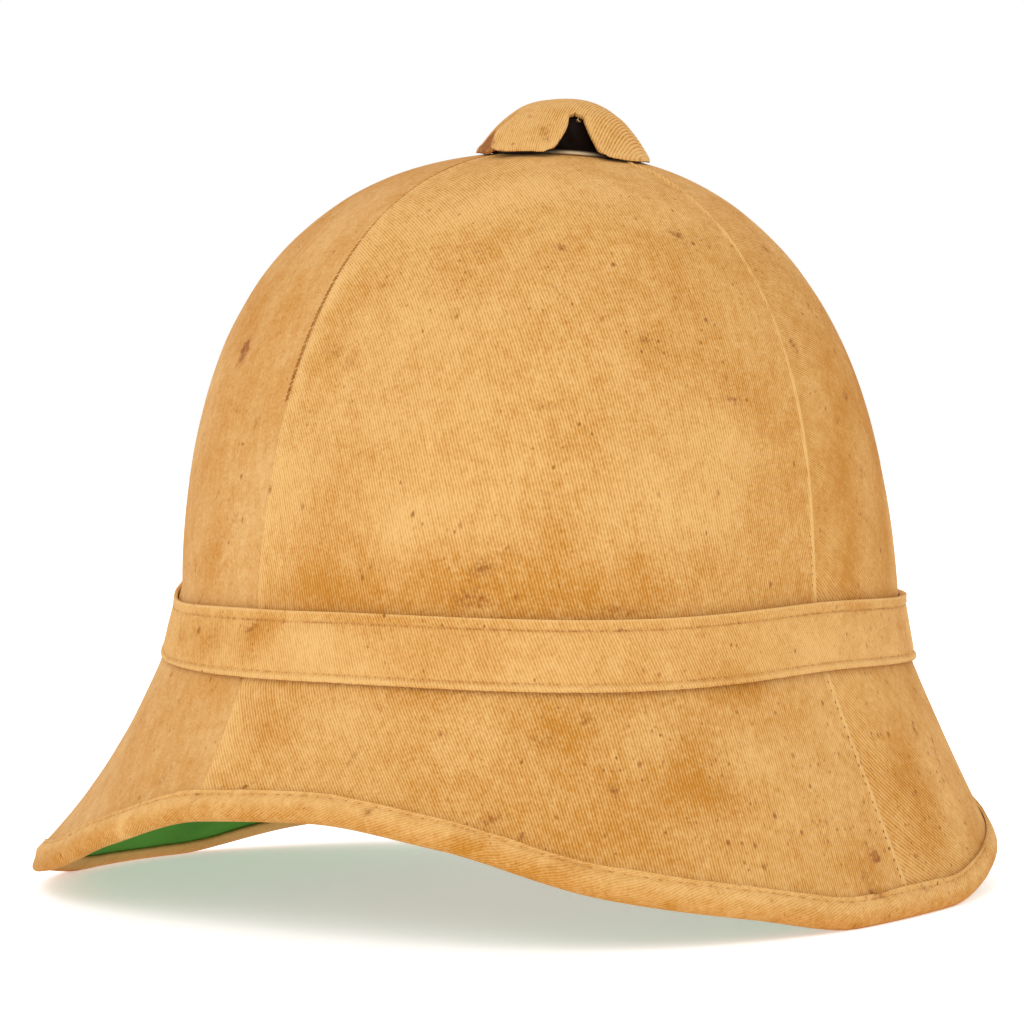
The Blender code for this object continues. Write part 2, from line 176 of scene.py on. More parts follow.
# %% the rim and the brim
def rim_height(angle):
    """Height of the rim over the table: a Hermite curve through the rows of RIM_HEIGHTS."""
    turn = np.degrees(np.abs((angle + np.pi) % (2 * np.pi) - np.pi))
    at, value = np.array(RIM_HEIGHTS).T
    slope = np.diff(value) / np.diff(at)
    same_way = slope[:-1] * slope[1:] > 0
    both = np.where(same_way, slope[:-1] + slope[1:], 1)
    inner = np.where(same_way, 2 * slope[:-1] * slope[1:] / both, 0)
    tangent = np.concatenate([[0], inner, [0]])
    i = np.clip(np.searchsorted(at, turn, side="right") - 1, 0, len(at) - 2)
    span = at[i + 1] - at[i]
    t = (turn - at[i]) / span
    start = (1 + 2 * t) * (1 - t) ** 2 * value[i] + t * (1 - t) ** 2 * span * tangent[i]
    end = t * t * (3 - 2 * t) * value[i + 1] + t * t * (t - 1) * span * tangent[i + 1]
    return start + end


def rim(angle):
    """The lowest line of the brim, at its height over the leaning table."""
    x, y = outline(angle, RIM_FRONT, RIM_BACK, RIM_SIDE, RIM_SQUARE_FRONT, RIM_SQUARE_BACK)
    z = y * math.tan(LEAN) - TABLE_DROP + rim_height(angle) / math.cos(LEAN)
    return np.stack([x, y, z], axis=-1)


def brim_curl(angle):
    """How much later than evenly the brim flares: curl + front curl * cos(angle)."""
    return BRIM_CURL + BRIM_CURL_FRONT * np.cos(angle)


def brim(angle, out):
    """Skin of the brim, from the band's foot at 0 to the rim at 1: it flares late by its curl."""
    foot = band_zone(angle, np.ones(np.shape(angle)))
    late = out - brim_curl(angle) * out * (1 - out)
    return foot + (rim(angle) - foot) * np.stack([late, late, out], axis=-1)


# %% [markdown]
# The parts are joined in one function of angle and climb. From it come the normal, a point lifted off the
# skin and the climb at a distance from the rim, which is all that the pieces ask for.

# %% anywhere on the skin
def crown_climb(angle, climb):
    """Height on the crown for a climb from 2 to 3: even steps of a quarter turn up to the vent hole."""
    hole = highest(np.shape(angle), lambda height: np.hypot(*crown_plan(angle, height)) > VENT_RADIUS)
    return np.sin(np.arcsin(hole) * np.clip(climb - 2, 0, 1))


def skin(angle, climb):
    """A point of the outer skin at an angle round the head and a climb from the rim, 0 to 3."""
    height = crown_climb(angle, climb)
    angle, climb, height = np.broadcast_arrays(angle, climb, height)
    low = brim(angle, np.clip(1 - climb, 0, 1))
    middle = band_zone(angle, np.clip(2 - climb, 0, 1))
    high = crown(angle, height)
    zone = climb[..., None]
    return np.where(zone < 1, low, np.where(zone < 2, middle, high))


def outward(angle, climb):
    """Unit normal of the skin: the cross product of its two directions."""
    below = np.clip(climb - SKIN_STEP, 0, 3)
    above = np.clip(climb + SKIN_STEP, 0, 3)
    round_head = skin(angle + SKIN_STEP, climb) - skin(angle - SKIN_STEP, climb)
    normal = np.cross(round_head, skin(angle, above) - skin(angle, below))
    return normal / np.linalg.norm(normal, axis=-1, keepdims=True)


def lifted(angle, climb, lift):
    """The skin moved outward by a lift, or inward by a negative one."""
    return skin(angle, climb) + np.asarray(lift)[..., None] * outward(angle, climb)


def climb_from_rim(angle, distance):
    """Climb of a point a distance up from the rim, from how fast the brim's skin runs there."""
    foot = band_zone(angle, np.ones(np.shape(angle)))
    speed = (rim(angle) - foot) * np.stack([1 + brim_curl(angle)] * 2 + [np.ones(np.shape(angle))], axis=-1)
    return distance / np.linalg.norm(speed, axis=-1)


def over_crown(angle, radius, lift):
    """A point over the crown's top, in a direction seen from above, at a radius from the crown's axis."""
    angle, radius, lift = np.broadcast_arrays(angle, radius, lift)
    ahead = np.cos(angle) > 0
    power = np.where(ahead, CROWN_SQUARE_FRONT, CROWN_SQUARE_BACK)
    x, y = radius * np.sin(angle), -radius * np.cos(angle)

    def reaches(height):
        """Whether the point lies inside the crown's plan at a height: |x / side|**n + |y / length|**n < 1."""
        along = np.where(ahead, CROWN_FRONT * profile(height, CROWN_RISE_FRONT),
                         CROWN_BACK * profile(height, CROWN_RISE_BACK))
        return (np.abs(x / CROWN_SIDE / profile(height, CROWN_RISE_SIDE)) ** power
                + np.abs(y / along) ** power) < 1

    height = highest(np.shape(angle), reaches)
    z = CROWN_HEIGHT * height + band_sway(angle) * (1 - height) + lift
    return np.stack([x, y + CROWN_APEX_SHIFT * height, z], axis=-1)


# %% [markdown]
# ## From the drawing board to the table
#
# The skin is drawn with the band level. On a table the helmet leans back a little, onto the tip of its
# peak and the back of its brim. One function turns and lifts the points of every piece, and the CAD
# binding's box says how far the whole was shifted to bring its middle over the origin. The points, not
# the objects, are moved, so that every object can sit at the origin unturned.

# %% the resting place
BINDING_CENTRE = 5.4 * MM         # over the rim, where the binding's round fold is centred


def leaned(points):
    """Turned back by the lean about X: y' = y cos + z sin, z' = z cos - y sin."""
    x, y, z = np.moveaxis(points, -1, 0)
    return np.stack([x, y * math.cos(LEAN) + z * math.sin(LEAN),
                     z * math.cos(LEAN) - y * math.sin(LEAN)], axis=-1)


angle_round = np.linspace(0, 2 * np.pi, 721)
rim_leaned = leaned(skin(angle_round, climb_from_rim(angle_round, BINDING_CENTRE)))
binding_low, binding_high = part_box("edge_binding")
SHIFT_Y = (binding_low.y + binding_high.y - rim_leaned[:, 1].min() - rim_leaned[:, 1].max()) / 2
SHIFT = np.array([0, SHIFT_Y, TABLE_DROP * math.cos(LEAN) - PRESS])


def at_rest(points):
    """From the helmet's drawing frame to the frame it rests in."""
    return leaned(points) + SHIFT


print(f"the helmet is moved {SHIFT_Y / MM:.2f} mm along Y and stands {SHIFT[2] / MM:.1f} mm high at its band")

# %% [markdown]
# ## Camera
#
# The photograph was taken from behind the wearer's left shoulder, from about a metre away with a long lens,
# nearly level and turned a touch. The camera is put there before anything is modelled, because stains and
# worn places are then charted by where the photograph shows them.

# %% the camera
PHOTO_SIDE = 1024                 # pixels
CAMERA_TURN = math.radians(127.8) # round from the wearer's front, towards their left
CAMERA_RISE = math.radians(0.97)
CAMERA_ROLL = math.radians(-1.61)
CAMERA_DISTANCE = 1.0762          # metres
AIM_SIDE = 13.1 * MM              # the point it looks at, right of the helmet's axis
AIM_HEIGHT = 119.5 * MM
LENS = 118.47                     # mm, on a sensor of
SENSOR = 36


def ways_from(turn, rise):
    """The way from the helmet to a camera or lamp at a turn and a rise, and the level way to its right."""
    way = np.array([math.sin(turn) * math.cos(rise), -math.cos(turn) * math.cos(rise), math.sin(rise)])
    return way, np.array([math.cos(turn), math.sin(turn), 0])


def put_in_place(thing, right, up, back, place):
    """Links a camera or lamp, turned so that its own X, Y and Z run right, up and back."""
    placed = np.eye(4)
    placed[:3] = np.stack([right, up, back, place], axis=1)
    thing.matrix_world = Matrix(placed.tolist())
    bpy.context.scene.collection.objects.link(thing)


toward, level = ways_from(CAMERA_TURN, CAMERA_RISE)
upright = np.cross(toward, level)
camera_right = math.cos(CAMERA_ROLL) * level + math.sin(CAMERA_ROLL) * upright
camera_up = math.cos(CAMERA_ROLL) * upright - math.sin(CAMERA_ROLL) * level
eye = level * AIM_SIDE + np.array([0, 0, AIM_HEIGHT]) + toward * CAMERA_DISTANCE

camera_data = bpy.data.cameras.new("camera")
camera_data.lens = LENS
camera_data.sensor_width = SENSOR
camera_data.clip_start = 0.05
camera_data.clip_end = 40
camera = bpy.data.objects.new("camera", camera_data)
put_in_place(camera, camera_right, camera_up, toward, eye)
bpy.context.scene.camera = camera
print("camera at", [round(float(v), 3) for v in eye])

# %% [markdown]
# ## Finding a place that the photograph shows
#
# Stains are easiest to chart by the pixel where they show. To turn a pixel into a place on the helmet, a
# fine net of skin points is seen through the camera, and the nearest one that faces it is taken. What
# comes out is a point on the cloth, so a stain painted there stays on the cloth from every side.

# %% from pixel to skin
NET_ANGLES = np.radians(np.linspace(5, 240, 640))
NET_CLIMBS = np.concatenate([np.linspace(0, 2, 120), np.linspace(2, 3, 330)[1:]])
FAR_OFF = 1e6                     # pixels added to what faces away, so that it is never the nearest
CROWN_MIDDLE = (540, 400)         # a pixel to try it on, across and down


def seen_at_pixel(points):
    """Where points show in the photograph, in pixels across and down from its upper left corner."""
    ray = points - eye
    depth = -(ray @ toward)
    scale = LENS / SENSOR * PHOTO_SIDE / depth
    return np.stack([PHOTO_SIDE / 2 + scale * (ray @ camera_right),
                     PHOTO_SIDE / 2 - scale * (ray @ camera_up)], axis=-1)


net_points = at_rest(skin(NET_ANGLES[:, None], NET_CLIMBS[None]))
round_step = np.gradient(net_points, axis=0)
net_normals = np.cross(round_step, np.gradient(net_points, axis=1))
net_normals /= np.linalg.norm(net_normals, axis=-1, keepdims=True) + 1e-12
net_pixels = seen_at_pixel(net_points)
net_hidden = FAR_OFF * (np.einsum("ijk,ijk->ij", net_normals, eye - net_points) <= 0)


def skin_at_pixel(across, down):
    """Angle and climb of the skin, its point and normal at rest, where the photograph shows a pixel."""
    away = np.hypot(net_pixels[..., 0] - across, net_pixels[..., 1] - down) + net_hidden
    i, j = np.unravel_index(away.argmin(), away.shape)
    return NET_ANGLES[i], NET_CLIMBS[j], net_points[i, j], net_normals[i, j]


middle_angle, middle_climb = skin_at_pixel(*CROWN_MIDDLE)[:2]
print(f"the middle of the crown shows the skin at {math.degrees(middle_angle):.0f} degrees,",
      f"climb {middle_climb:.2f}")

# %% [markdown]
# ## Tools of the trade
#
# A few helpers serve every piece. One turns a grid of points into a mesh, with a UV map in metres and
# masks as point attributes. One is a smooth noise for the small unevenness that handmade things have.
# One gives the shape between two levels that is smooth at both ends. The noise is drawn from seeded random
# numbers and not modelled by hand, so that every run gives the same helmet.

# %% grids, noise and steps
def ease(value):
    """Smooth step: 0 under 0, 1 over 1, and 3 t^2 - 2 t^3 between."""
    value = np.clip(value, 0, 1)
    return value * value * (3 - 2 * value)


def bell(value, width):
    """A bump that is 1 at 0 and fades within a few widths: exp(-(value / width)**2)."""
    return np.exp(-(value / width) ** 2)


NOISE_PERIOD = 64                 # lattice steps after which the noise repeats
SEED_SHIFT = 7.3                  # lattice steps between one seed's lattice and the next one's


def soft_noise(points, size, seed):
    """Noise from -1 to 1: random values on a cubic lattice of that size, eased from corner to corner.

    Another seed gives another pattern, so that two kinds of unevenness don't follow each other."""
    values = np.random.default_rng(seed).uniform(-1, 1, (NOISE_PERIOD,) * 3)
    place = points / size + SEED_SHIFT * seed
    cell = np.floor(place).astype(int)
    part = ease(place - cell)
    total = np.zeros(points.shape[:-1])
    for corner in itertools.product((0, 1), repeat=3):
        weight = np.where(corner, part, 1 - part).prod(axis=-1)
        i, j, k = np.moveaxis((cell + corner) % NOISE_PERIOD, -1, 0)
        total += weight * values[i, j, k]
    return total


def run_along(points, axis):
    """Length run along a grid's rows or columns, from its first point."""
    steps = np.linalg.norm(np.diff(points, axis=axis), axis=-1)
    start = np.zeros_like(np.take(steps, [0], axis=axis))
    return np.concatenate([start, np.cumsum(steps, axis=axis)], axis=axis)


def unit(vectors):
    """Vectors of length 1 in the same directions."""
    return vectors / np.linalg.norm(vectors, axis=-1, keepdims=True)


def all_round(count):
    """Angles evenly round the head, from the front."""
    return np.linspace(0, 2 * np.pi, count + 1)[:-1]


def closed_loop(values, axis=0):
    """The first row, or column, once more after the last, so that a loop closes."""
    return np.concatenate([values, np.take(values, [0], axis=axis)], axis=axis)


# %% [markdown]
# A grid becomes a mesh by numbering its points and joining four neighbours at a time. Dressing is the last
# step of every piece: it gets its material, and the model is told what it rides on and what it stands for.

# %% from a grid to a finished piece
def quads_of(grid):
    """The four corners of every cell of a grid of numbers, anticlockwise."""
    return np.stack([grid[:-1, :-1], grid[:-1, 1:], grid[1:, 1:], grid[1:, :-1]], axis=-1).reshape(-1, 4)


def mesh_object(name, points, faces, weave=None, weave_faces=None, **masks):
    """A smooth object from points already at rest, with an optional UV map and point attributes."""
    mesh = bpy.data.meshes.new(name)
    mesh.from_pydata(points, [], faces)
    if weave is not None:
        layer = mesh.uv_layers.new(name="weave")
        layer.uv.foreach_set("vector", weave[weave_faces].astype(np.float32).ravel())
    for mask, value in masks.items():
        layer = mesh.attributes.new(mask, "FLOAT", "POINT")
        layer.data.foreach_set("value", np.asarray(value, dtype=np.float32).ravel())
    mesh.shade_smooth()
    piece = bpy.data.objects.new(name, mesh)
    bpy.context.scene.collection.objects.link(piece)
    return piece


def grid_object(name, points, weave, closed=False, **masks):
    """Quads over rows x columns of points; a closed grid joins its last column to its first.

    weave is the UV map, in metres across and along the cloth's ribs, with one more column if closed."""
    rows, columns = points.shape[:2]
    index = np.arange(rows * columns).reshape(rows, columns)
    corner = np.arange(rows * (columns + closed)).reshape(rows, columns + closed)
    if closed:
        index = closed_loop(index, 1)
    spread = {mask: np.broadcast_to(value, (rows, columns)) for mask, value in masks.items()}
    return mesh_object(name, at_rest(points).reshape(-1, 3), quads_of(index),
                       weave.reshape(-1, 2), quads_of(corner), **spread)


def thicken(piece, thickness):
    """Gives a sheet its wall, inward from the modelled side."""
    wall = piece.modifiers.new("wall", "SOLIDIFY")
    wall.thickness = thickness
    wall.offset = -1
    wall.use_even_offset = True


def dress(piece, material, slot, *nodes):
    """Puts the finished piece in the model: its material, its body and the CAD nodes it stands for."""
    piece.data.materials.append(material)
    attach(piece, BODY)
    if nodes:
        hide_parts(*nodes)
    print(f"{piece.name}: {len(piece.data.vertices)} points, {len(piece.data.polygons)} faces")


# %% [markdown]
# ## Charting the stains
#
# Age and damp have left this cloth with brown bloom, rusty clouds and a few rubbed pale places. The
# ones that catch the eye are charted, each as an oval: where the photograph shows its middle, its
# half length and half width on the cloth, which way it leans, and how strong it is. Their ragged edges
# come later, in the material. The countless small specks follow no chart; the material scatters them.

# %% the chart of stains
MARK_KINDS = ("soil", "rust_and_shade", "pale", "spots")
# kind, pixels across and down, half length and half width in mm, lean in degrees, strength
STAINS = (
    # broad clouds over crown and brim
    ("rust_and_shade", 560, 580, 80, 16, 0, 0.35), ("rust_and_shade", 640, 775, 85, 28, 6, 0.35),
    ("rust_and_shade", 570, 185, 50, 14, 0, 0.08), ("rust_and_shade", 850, 400, 80, 12, 82, 0.30),
    ("rust_and_shade", 920, 820, 30, 14, 75, 0.25), ("rust_and_shade", 325, 555, 16, 22, 0, 0.45),
    ("rust_and_shade", 700, 300, 40, 30, -30, 0.25), ("rust_and_shade", 200, 640, 22, 7, -10, 0.5),
    ("pale", 430, 400, 45, 42, 0, 0.30), ("pale", 320, 440, 34, 10, 80, 0.55),
    ("pale", 500, 195, 60, 14, 0, 0.4), ("pale", 330, 240, 40, 12, 50, 0.35),
    ("pale", 720, 470, 30, 24, 0, 0.2), ("rust_and_shade", 878, 470, 62, 9, 84, 0.8),
    ("rust_and_shade", 985, 850, 16, 12, 80, 0.6),
    # where the small specks crowd
    ("spots", 790, 800, 48, 26, 0, 0.7), ("spots", 925, 790, 34, 22, 75, 1.2),
    ("spots", 855, 430, 60, 16, 82, 0.75), ("spots", 690, 230, 34, 12, 0, 0.5),
    ("spots", 700, 345, 26, 16, 0, 0.4), ("spots", 228, 480, 34, 12, 75, 0.45),
    ("spots", 480, 570, 40, 14, 0, 0.4), ("spots", 620, 790, 30, 18, 0, 0.35),
    # the crown, left of the side seam
    ("soil", 245, 345, 3.6, 4.2, 65, 1.0), ("soil", 240, 361, 3.0, 3.4, 60, 0.6),
    ("soil", 256, 424, 3.0, 1.5, 70, 0.8), ("soil", 270, 488, 2.2, 1.2, 80, 0.8),
    ("soil", 235, 516, 4.0, 2.6, 30, 0.5), ("soil", 203, 436, 3.0, 3.0, 80, 0.5),
    ("rust_and_shade", 215, 545, 12, 9, 80, 0.5), ("rust_and_shade", 300, 290, 22, 7, 55, 0.5),
    ("rust_and_shade", 262, 300, 14, 6, 60, 0.4), ("pale", 226, 555, 3.8, 0.5, 18, 1.0),
    ("pale", 215, 380, 8, 5, 75, 0.4),
    # its upper part
    ("soil", 430, 249, 9.5, 1.4, -12, 0.45), ("soil", 478, 252, 5.5, 1.3, 4, 0.55),
    ("soil", 560, 247, 2.6, 2.2, 0, 0.8), ("soil", 516, 216, 3.6, 2.2, 70, 0.4),
    ("soil", 676, 234, 3.2, 1.8, 0, 0.95), ("soil", 687, 246, 1.6, 1.4, 0, 0.6),
    ("soil", 712, 226, 2.6, 2.4, 60, 0.5), ("soil", 557, 290, 5.0, 1.3, -50, 0.5),
    ("soil", 765, 249, 2.6, 1.6, -50, 0.9), ("soil", 772, 262, 5.0, 2.4, -55, 0.45),
    ("soil", 335, 350, 5.0, 4.0, 30, 0.45), ("soil", 350, 362, 4.0, 3.0, 0, 0.45),
    ("rust_and_shade", 345, 355, 9, 8, 30, 0.5), ("rust_and_shade", 545, 330, 10, 6, 0, 0.35),
    ("soil", 643, 338, 2.2, 1.8, 0, 0.65), ("soil", 654, 349, 4.5, 3.0, -40, 0.4),
    ("soil", 705, 335, 2.0, 1.4, 70, 0.5), ("soil", 790, 342, 2.4, 1.2, -60, 0.8),
    ("soil", 797, 352, 2.2, 1.2, -60, 0.7), ("rust_and_shade", 620, 430, 14, 9, 10, 0.4),
    ("pale", 470, 210, 16, 8, 0, 0.5), ("pale", 340, 280, 14, 4, 55, 0.5),
    ("pale", 590, 190, 30, 9, 0, 0.5), ("pale", 640, 270, 12, 8, 0, 0.3),
    # its middle and lower part
    ("soil", 546, 406, 3.4, 1.3, -8, 0.7), ("soil", 734, 401, 3.6, 1.1, 0, 0.95),
    ("soil", 706, 395, 6.0, 1.0, -8, 0.5), ("soil", 564, 448, 1.3, 1.1, 0, 0.7),
    ("soil", 544, 495, 2.4, 1.8, -60, 0.6), ("soil", 506, 550, 1.0, 1.0, 0, 0.7),
    ("soil", 480, 570, 2.8, 2.4, 0, 0.45), ("soil", 470, 600, 6.0, 3.0, 0, 0.45),
    ("soil", 622, 612, 8.0, 1.8, 2, 0.35), ("rust_and_shade", 400, 590, 26, 8, 0, 0.6),
    ("rust_and_shade", 560, 600, 24, 6, 0, 0.5), ("rust_and_shade", 318, 585, 9, 6, 0, 0.6),
    ("rust_and_shade", 440, 550, 12, 9, 40, 0.35), ("soil", 492, 562, 7, 6, 0, 0.35),
    ("pale", 480, 520, 22, 9, 0, 0.4), ("pale", 605, 545, 9, 12, 0, 0.55),
    ("pale", 665, 520, 14, 7, 0, 0.35), ("pale", 400, 515, 12, 12, 0, 0.35),
    ("rust_and_shade", 700, 575, 18, 8, 0, 0.4), ("rust_and_shade", 740, 390, 12, 8, 0, 0.3),
    # right of the back seam
    ("soil", 845, 396, 2.6, 2.2, 80, 0.7), ("soil", 862, 474, 5.0, 1.8, 82, 0.6),
    ("soil", 806, 500, 1.8, 1.0, 80, 0.6), ("rust_and_shade", 840, 440, 26, 9, 80, 0.6),
    ("rust_and_shade", 850, 545, 20, 10, 80, 0.45), ("pale", 770, 215, 12, 5, -50, 0.3),
    # the band
    ("soil", 187, 617, 1.3, 0.9, 60, 0.8), ("soil", 203, 631, 2.0, 1.3, 60, 1.0),
    ("soil", 212, 641, 3.4, 2.0, 40, 0.55), ("soil", 173, 622, 3.0, 1.2, 85, 0.7),
    ("soil", 256, 630, 4.5, 1.6, 0, 0.75), ("soil", 277, 632, 2.6, 1.6, 0, 0.75),
    ("rust_and_shade", 255, 650, 7, 5, 0, 0.5), ("soil", 200, 599, 3.2, 1.0, -18, 0.6),
    ("rust_and_shade", 212, 640, 9, 6, 0, 0.7), ("rust_and_shade", 266, 632, 9, 3.5, 0, 0.9), ("rust_and_shade", 185, 640, 4, 8, 0, 0.5),
    ("soil", 353, 654, 1.2, 1.0, 0, 0.5), ("soil", 618, 631, 1.6, 1.2, 0, 0.5),
    ("soil", 603, 659, 1.6, 1.6, 0, 0.5), ("rust_and_shade", 882, 630, 5, 3, 80, 0.4),
    ("pale", 330, 640, 14, 4, 0, 0.3), ("pale", 820, 650, 12, 4, 0, 0.4),
    # the brim
    ("soil", 173, 675, 2.2, 1.4, 0, 0.5), ("soil", 160, 780, 5.0, 2.4, 50, 0.5),
    ("soil", 173, 767, 3.4, 1.0, 60, 0.7), ("soil", 120, 790, 4.0, 2.2, 0, 0.35),
    ("soil", 246, 786, 4.6, 0.8, 2, 0.9), ("soil", 349, 762, 8.5, 0.9, 48, 0.6),
    ("rust_and_shade", 272, 735, 10, 7, 30, 0.6), ("soil", 263, 727, 4.0, 2.4, 20, 0.4),
    ("soil", 290, 717, 3.0, 2.0, 0, 0.4), ("soil", 442, 735, 2.0, 1.7, 0, 0.75),
    ("soil", 585, 718, 3.4, 2.6, 70, 0.6), ("soil", 545, 740, 7.0, 5.0, 20, 0.4),
    ("rust_and_shade", 560, 725, 12, 8, 0, 0.5), ("soil", 613, 790, 2.4, 2.0, 0, 0.85),
    ("rust_and_shade", 690, 775, 9, 7, 60, 0.6), ("rust_and_shade", 735, 805, 12, 6, 0, 0.5),
    ("rust_and_shade", 750, 690, 12, 6, 0, 0.5), ("rust_and_shade", 500, 800, 10, 7, 60, 0.5),
    ("soil", 491, 820, 4.6, 2.6, 10, 0.6), ("soil", 521, 838, 1.6, 1.2, 60, 1.0),
    ("soil", 765, 866, 1.5, 1.3, 80, 0.9), ("soil", 702, 857, 1.5, 1.2, 0, 0.6),
    ("soil", 614, 834, 1.4, 1.2, 0, 0.6), ("rust_and_shade", 620, 840, 16, 8, 0, 0.4),
    ("soil", 876, 856, 3.2, 2.8, 0, 1.0), ("soil", 873, 892, 2.4, 1.6, 0, 1.0),
    ("soil", 866, 876, 3.4, 2.2, 80, 0.6), ("rust_and_shade", 870, 870, 9, 8, 80, 0.6),
    ("soil", 915, 730, 3.0, 1.8, 70, 0.85), ("soil", 934, 750, 4.6, 2.2, 65, 0.6),
    ("rust_and_shade", 925, 800, 18, 8, 75, 0.6), ("soil", 945, 775, 4.0, 1.8, 70, 0.5),
    ("soil", 920, 890, 4.0, 2.0, 0, 0.6), ("pale", 655, 735, 10, 8, 0, 0.5),
    ("pale", 765, 760, 13, 9, 0, 0.5), ("pale", 215, 745, 12, 7, 70, 0.5),
    ("pale", 330, 725, 22, 9, 0, 0.5), ("rust_and_shade", 425, 690, 16, 4, 0, 0.4),
    # the binding
    ("soil", 197, 801, 2.6, 1.6, 60, 0.6), ("soil", 245, 806, 2.0, 1.0, 30, 0.4),
    ("soil", 370, 813, 2.6, 1.6, 0, 0.7), ("soil", 70, 838, 5.0, 1.6, 35, 0.5),
    ("rust_and_shade", 470, 846, 9, 3, 0, 0.6), ("rust_and_shade", 560, 872, 10, 3, 0, 0.5),
    ("pale", 120, 828, 18, 1.6, 15, 0.7), ("pale", 860, 903, 14, 2, 0, 0.3),
)
STAIN_DEPTH = 9 * MM              # a stain reaches this far off the skin, to what lies over or under it


def placed_stain(across, down, long, wide, lean):
    """Middle of a stain at rest, and its two directions on the cloth, each over its half size."""
    _, _, middle, normal = skin_at_pixel(across, down)
    way = math.cos(math.radians(lean)) * camera_right + math.sin(math.radians(lean)) * camera_up
    way = way - normal * (way @ normal)
    way /= np.linalg.norm(way)
    return middle, np.stack([way / (long * MM), np.cross(normal, way) / (wide * MM), normal / STAIN_DEPTH])


PLACED_STAINS = [(kind, strength, *placed_stain(*oval)) for kind, *oval, strength in STAINS]
print(len(STAINS), "stains charted")


def stains_on(points):
    """How soiled, rusty and pale each point is: every stain adds its bell, exp(-distance**2), to its kind."""
    marks = {kind: np.zeros(points.shape[:-1]) for kind in MARK_KINDS}
    resting = at_rest(points)
    for kind, strength, middle, directions in PLACED_STAINS:
        away = (resting - middle) @ directions.T
        marks[kind] += strength * np.exp(-(away ** 2).sum(axis=-1))
    return marks


# %% [markdown]
# ## Cloth by nodes: the twill
#
# Twill is woven so that each thread floats over several others, one step further on every row, and the
# floats line up in slanting ribs. Ribs are a wave across the cloth. What makes them look woven is that they
# wander a little, that they swell and thin along their length, and that some threads are paler than
# others. The weave map gives metres across and along the ribs, so the pattern bends as the cloth does.
#
# It is made once, as a node group with named sockets, because six finishes use it.

# %% helpers for node trees
def link(tree, value, socket):
    """Feeds a socket from another node, or sets it to a plain value."""
    if isinstance(value, bpy.types.NodeSocket):
        tree.links.new(value, socket)
    else:
        socket.default_value = value


def calc(tree, operation, *values, clamp=False):
    """Sum, product or other function of one to three values."""
    node = tree.nodes.new("ShaderNodeMath")
    node.operation = operation
    node.use_clamp = clamp
    for socket, value in zip(node.inputs, values):
        link(tree, value, socket)
    return node.outputs[0]


def combine(tree, x, y, z=0.0):
    """A vector from three numbers."""
    node = tree.nodes.new("ShaderNodeCombineXYZ")
    for socket, value in zip(node.inputs, (x, y, z)):
        link(tree, value, socket)
    return node.outputs[0]


def scaled(tree, vector, factors):
    """A vector with each of its parts times its own factor."""
    node = tree.nodes.new("ShaderNodeVectorMath")
    node.operation = "MULTIPLY"
    link(tree, vector, node.inputs[0])
    link(tree, factors, node.inputs[1])
    return node.outputs[0]


def noise(tree, place, size, detail=0.0, roughness=0.5):
    """Cloudy noise from 0 to 1, with clouds about as large as size."""
    node = tree.nodes.new("ShaderNodeTexNoise")
    link(tree, place, node.inputs["Vector"])
    node.inputs["Scale"].default_value = 1 / size
    node.inputs["Detail"].default_value = detail
    node.inputs["Roughness"].default_value = roughness
    return node.outputs["Fac"]


def between(tree, value, low, high, to_low=0.0, to_high=1.0):
    """Smooth step from to_low, at low and under, to to_high, at high and over."""
    node = tree.nodes.new("ShaderNodeMapRange")
    node.interpolation_type = "SMOOTHSTEP"
    for socket, number in zip(node.inputs, (value, low, high, to_low, to_high)):
        link(tree, number, socket)
    return node.outputs[0]


def mix(tree, share, first, second):
    """The second colour over the first, by a share."""
    node = tree.nodes.new("ShaderNodeMix")
    node.data_type = "RGBA"
    share_in, first_in, second_in = node.inputs[0], node.inputs[6], node.inputs[7]
    link(tree, share, share_in)
    link(tree, first, first_in)
    link(tree, second, second_in)
    return node.outputs[2]


def attribute(tree, name):
    """One of the masks that the mesh carries at its points."""
    node = tree.nodes.new("ShaderNodeAttribute")
    node.attribute_name = name
    return node.outputs["Fac"]


def object_place(tree):
    """Where a point lies on the helmet, in metres."""
    return tree.nodes.new("ShaderNodeTexCoord").outputs["Object"]


def weave_place_of(tree):
    """Metres across and along the cloth's ribs, from the mesh's UV map."""
    node = tree.nodes.new("ShaderNodeUVMap")
    node.uv_map = "weave"
    return node.outputs[0]


def new_group(name, inputs, outputs):
    """An empty node group; inputs are name: (kind, value), outputs name: kind."""
    group = bpy.data.node_groups.new(name, "ShaderNodeTree")
    for label, (kind, value) in inputs.items():
        socket = group.interface.new_socket(label, in_out="INPUT", socket_type=f"NodeSocket{kind}")
        if value is not None:
            socket.default_value = value
    for label, kind in outputs.items():
        group.interface.new_socket(label, in_out="OUTPUT", socket_type=f"NodeSocket{kind}")
    return group, group.nodes.new("NodeGroupInput").outputs, group.nodes.new("NodeGroupOutput").inputs


# %% [markdown]
# The group takes the weave map, the ribs' pitch and how far they wander. It gives the height of the relief,
# the crest of the rib, which is paler than its valley, and a mask of paler and darker threads.

# %% the twill group
RIB_PITCH = 0.9 * MM
RIB_WANDER = 0.35                 # in ribs
SLOW_BEND, QUICK_BEND = 7 * MM, 1.6 * MM
FLOAT_LENGTH = 1.1 * MM           # of one thread lying over the others
THREAD_LENGTH = 16 * MM           # over which a thread keeps its colour
WHOLE_TURN = 2 * math.pi

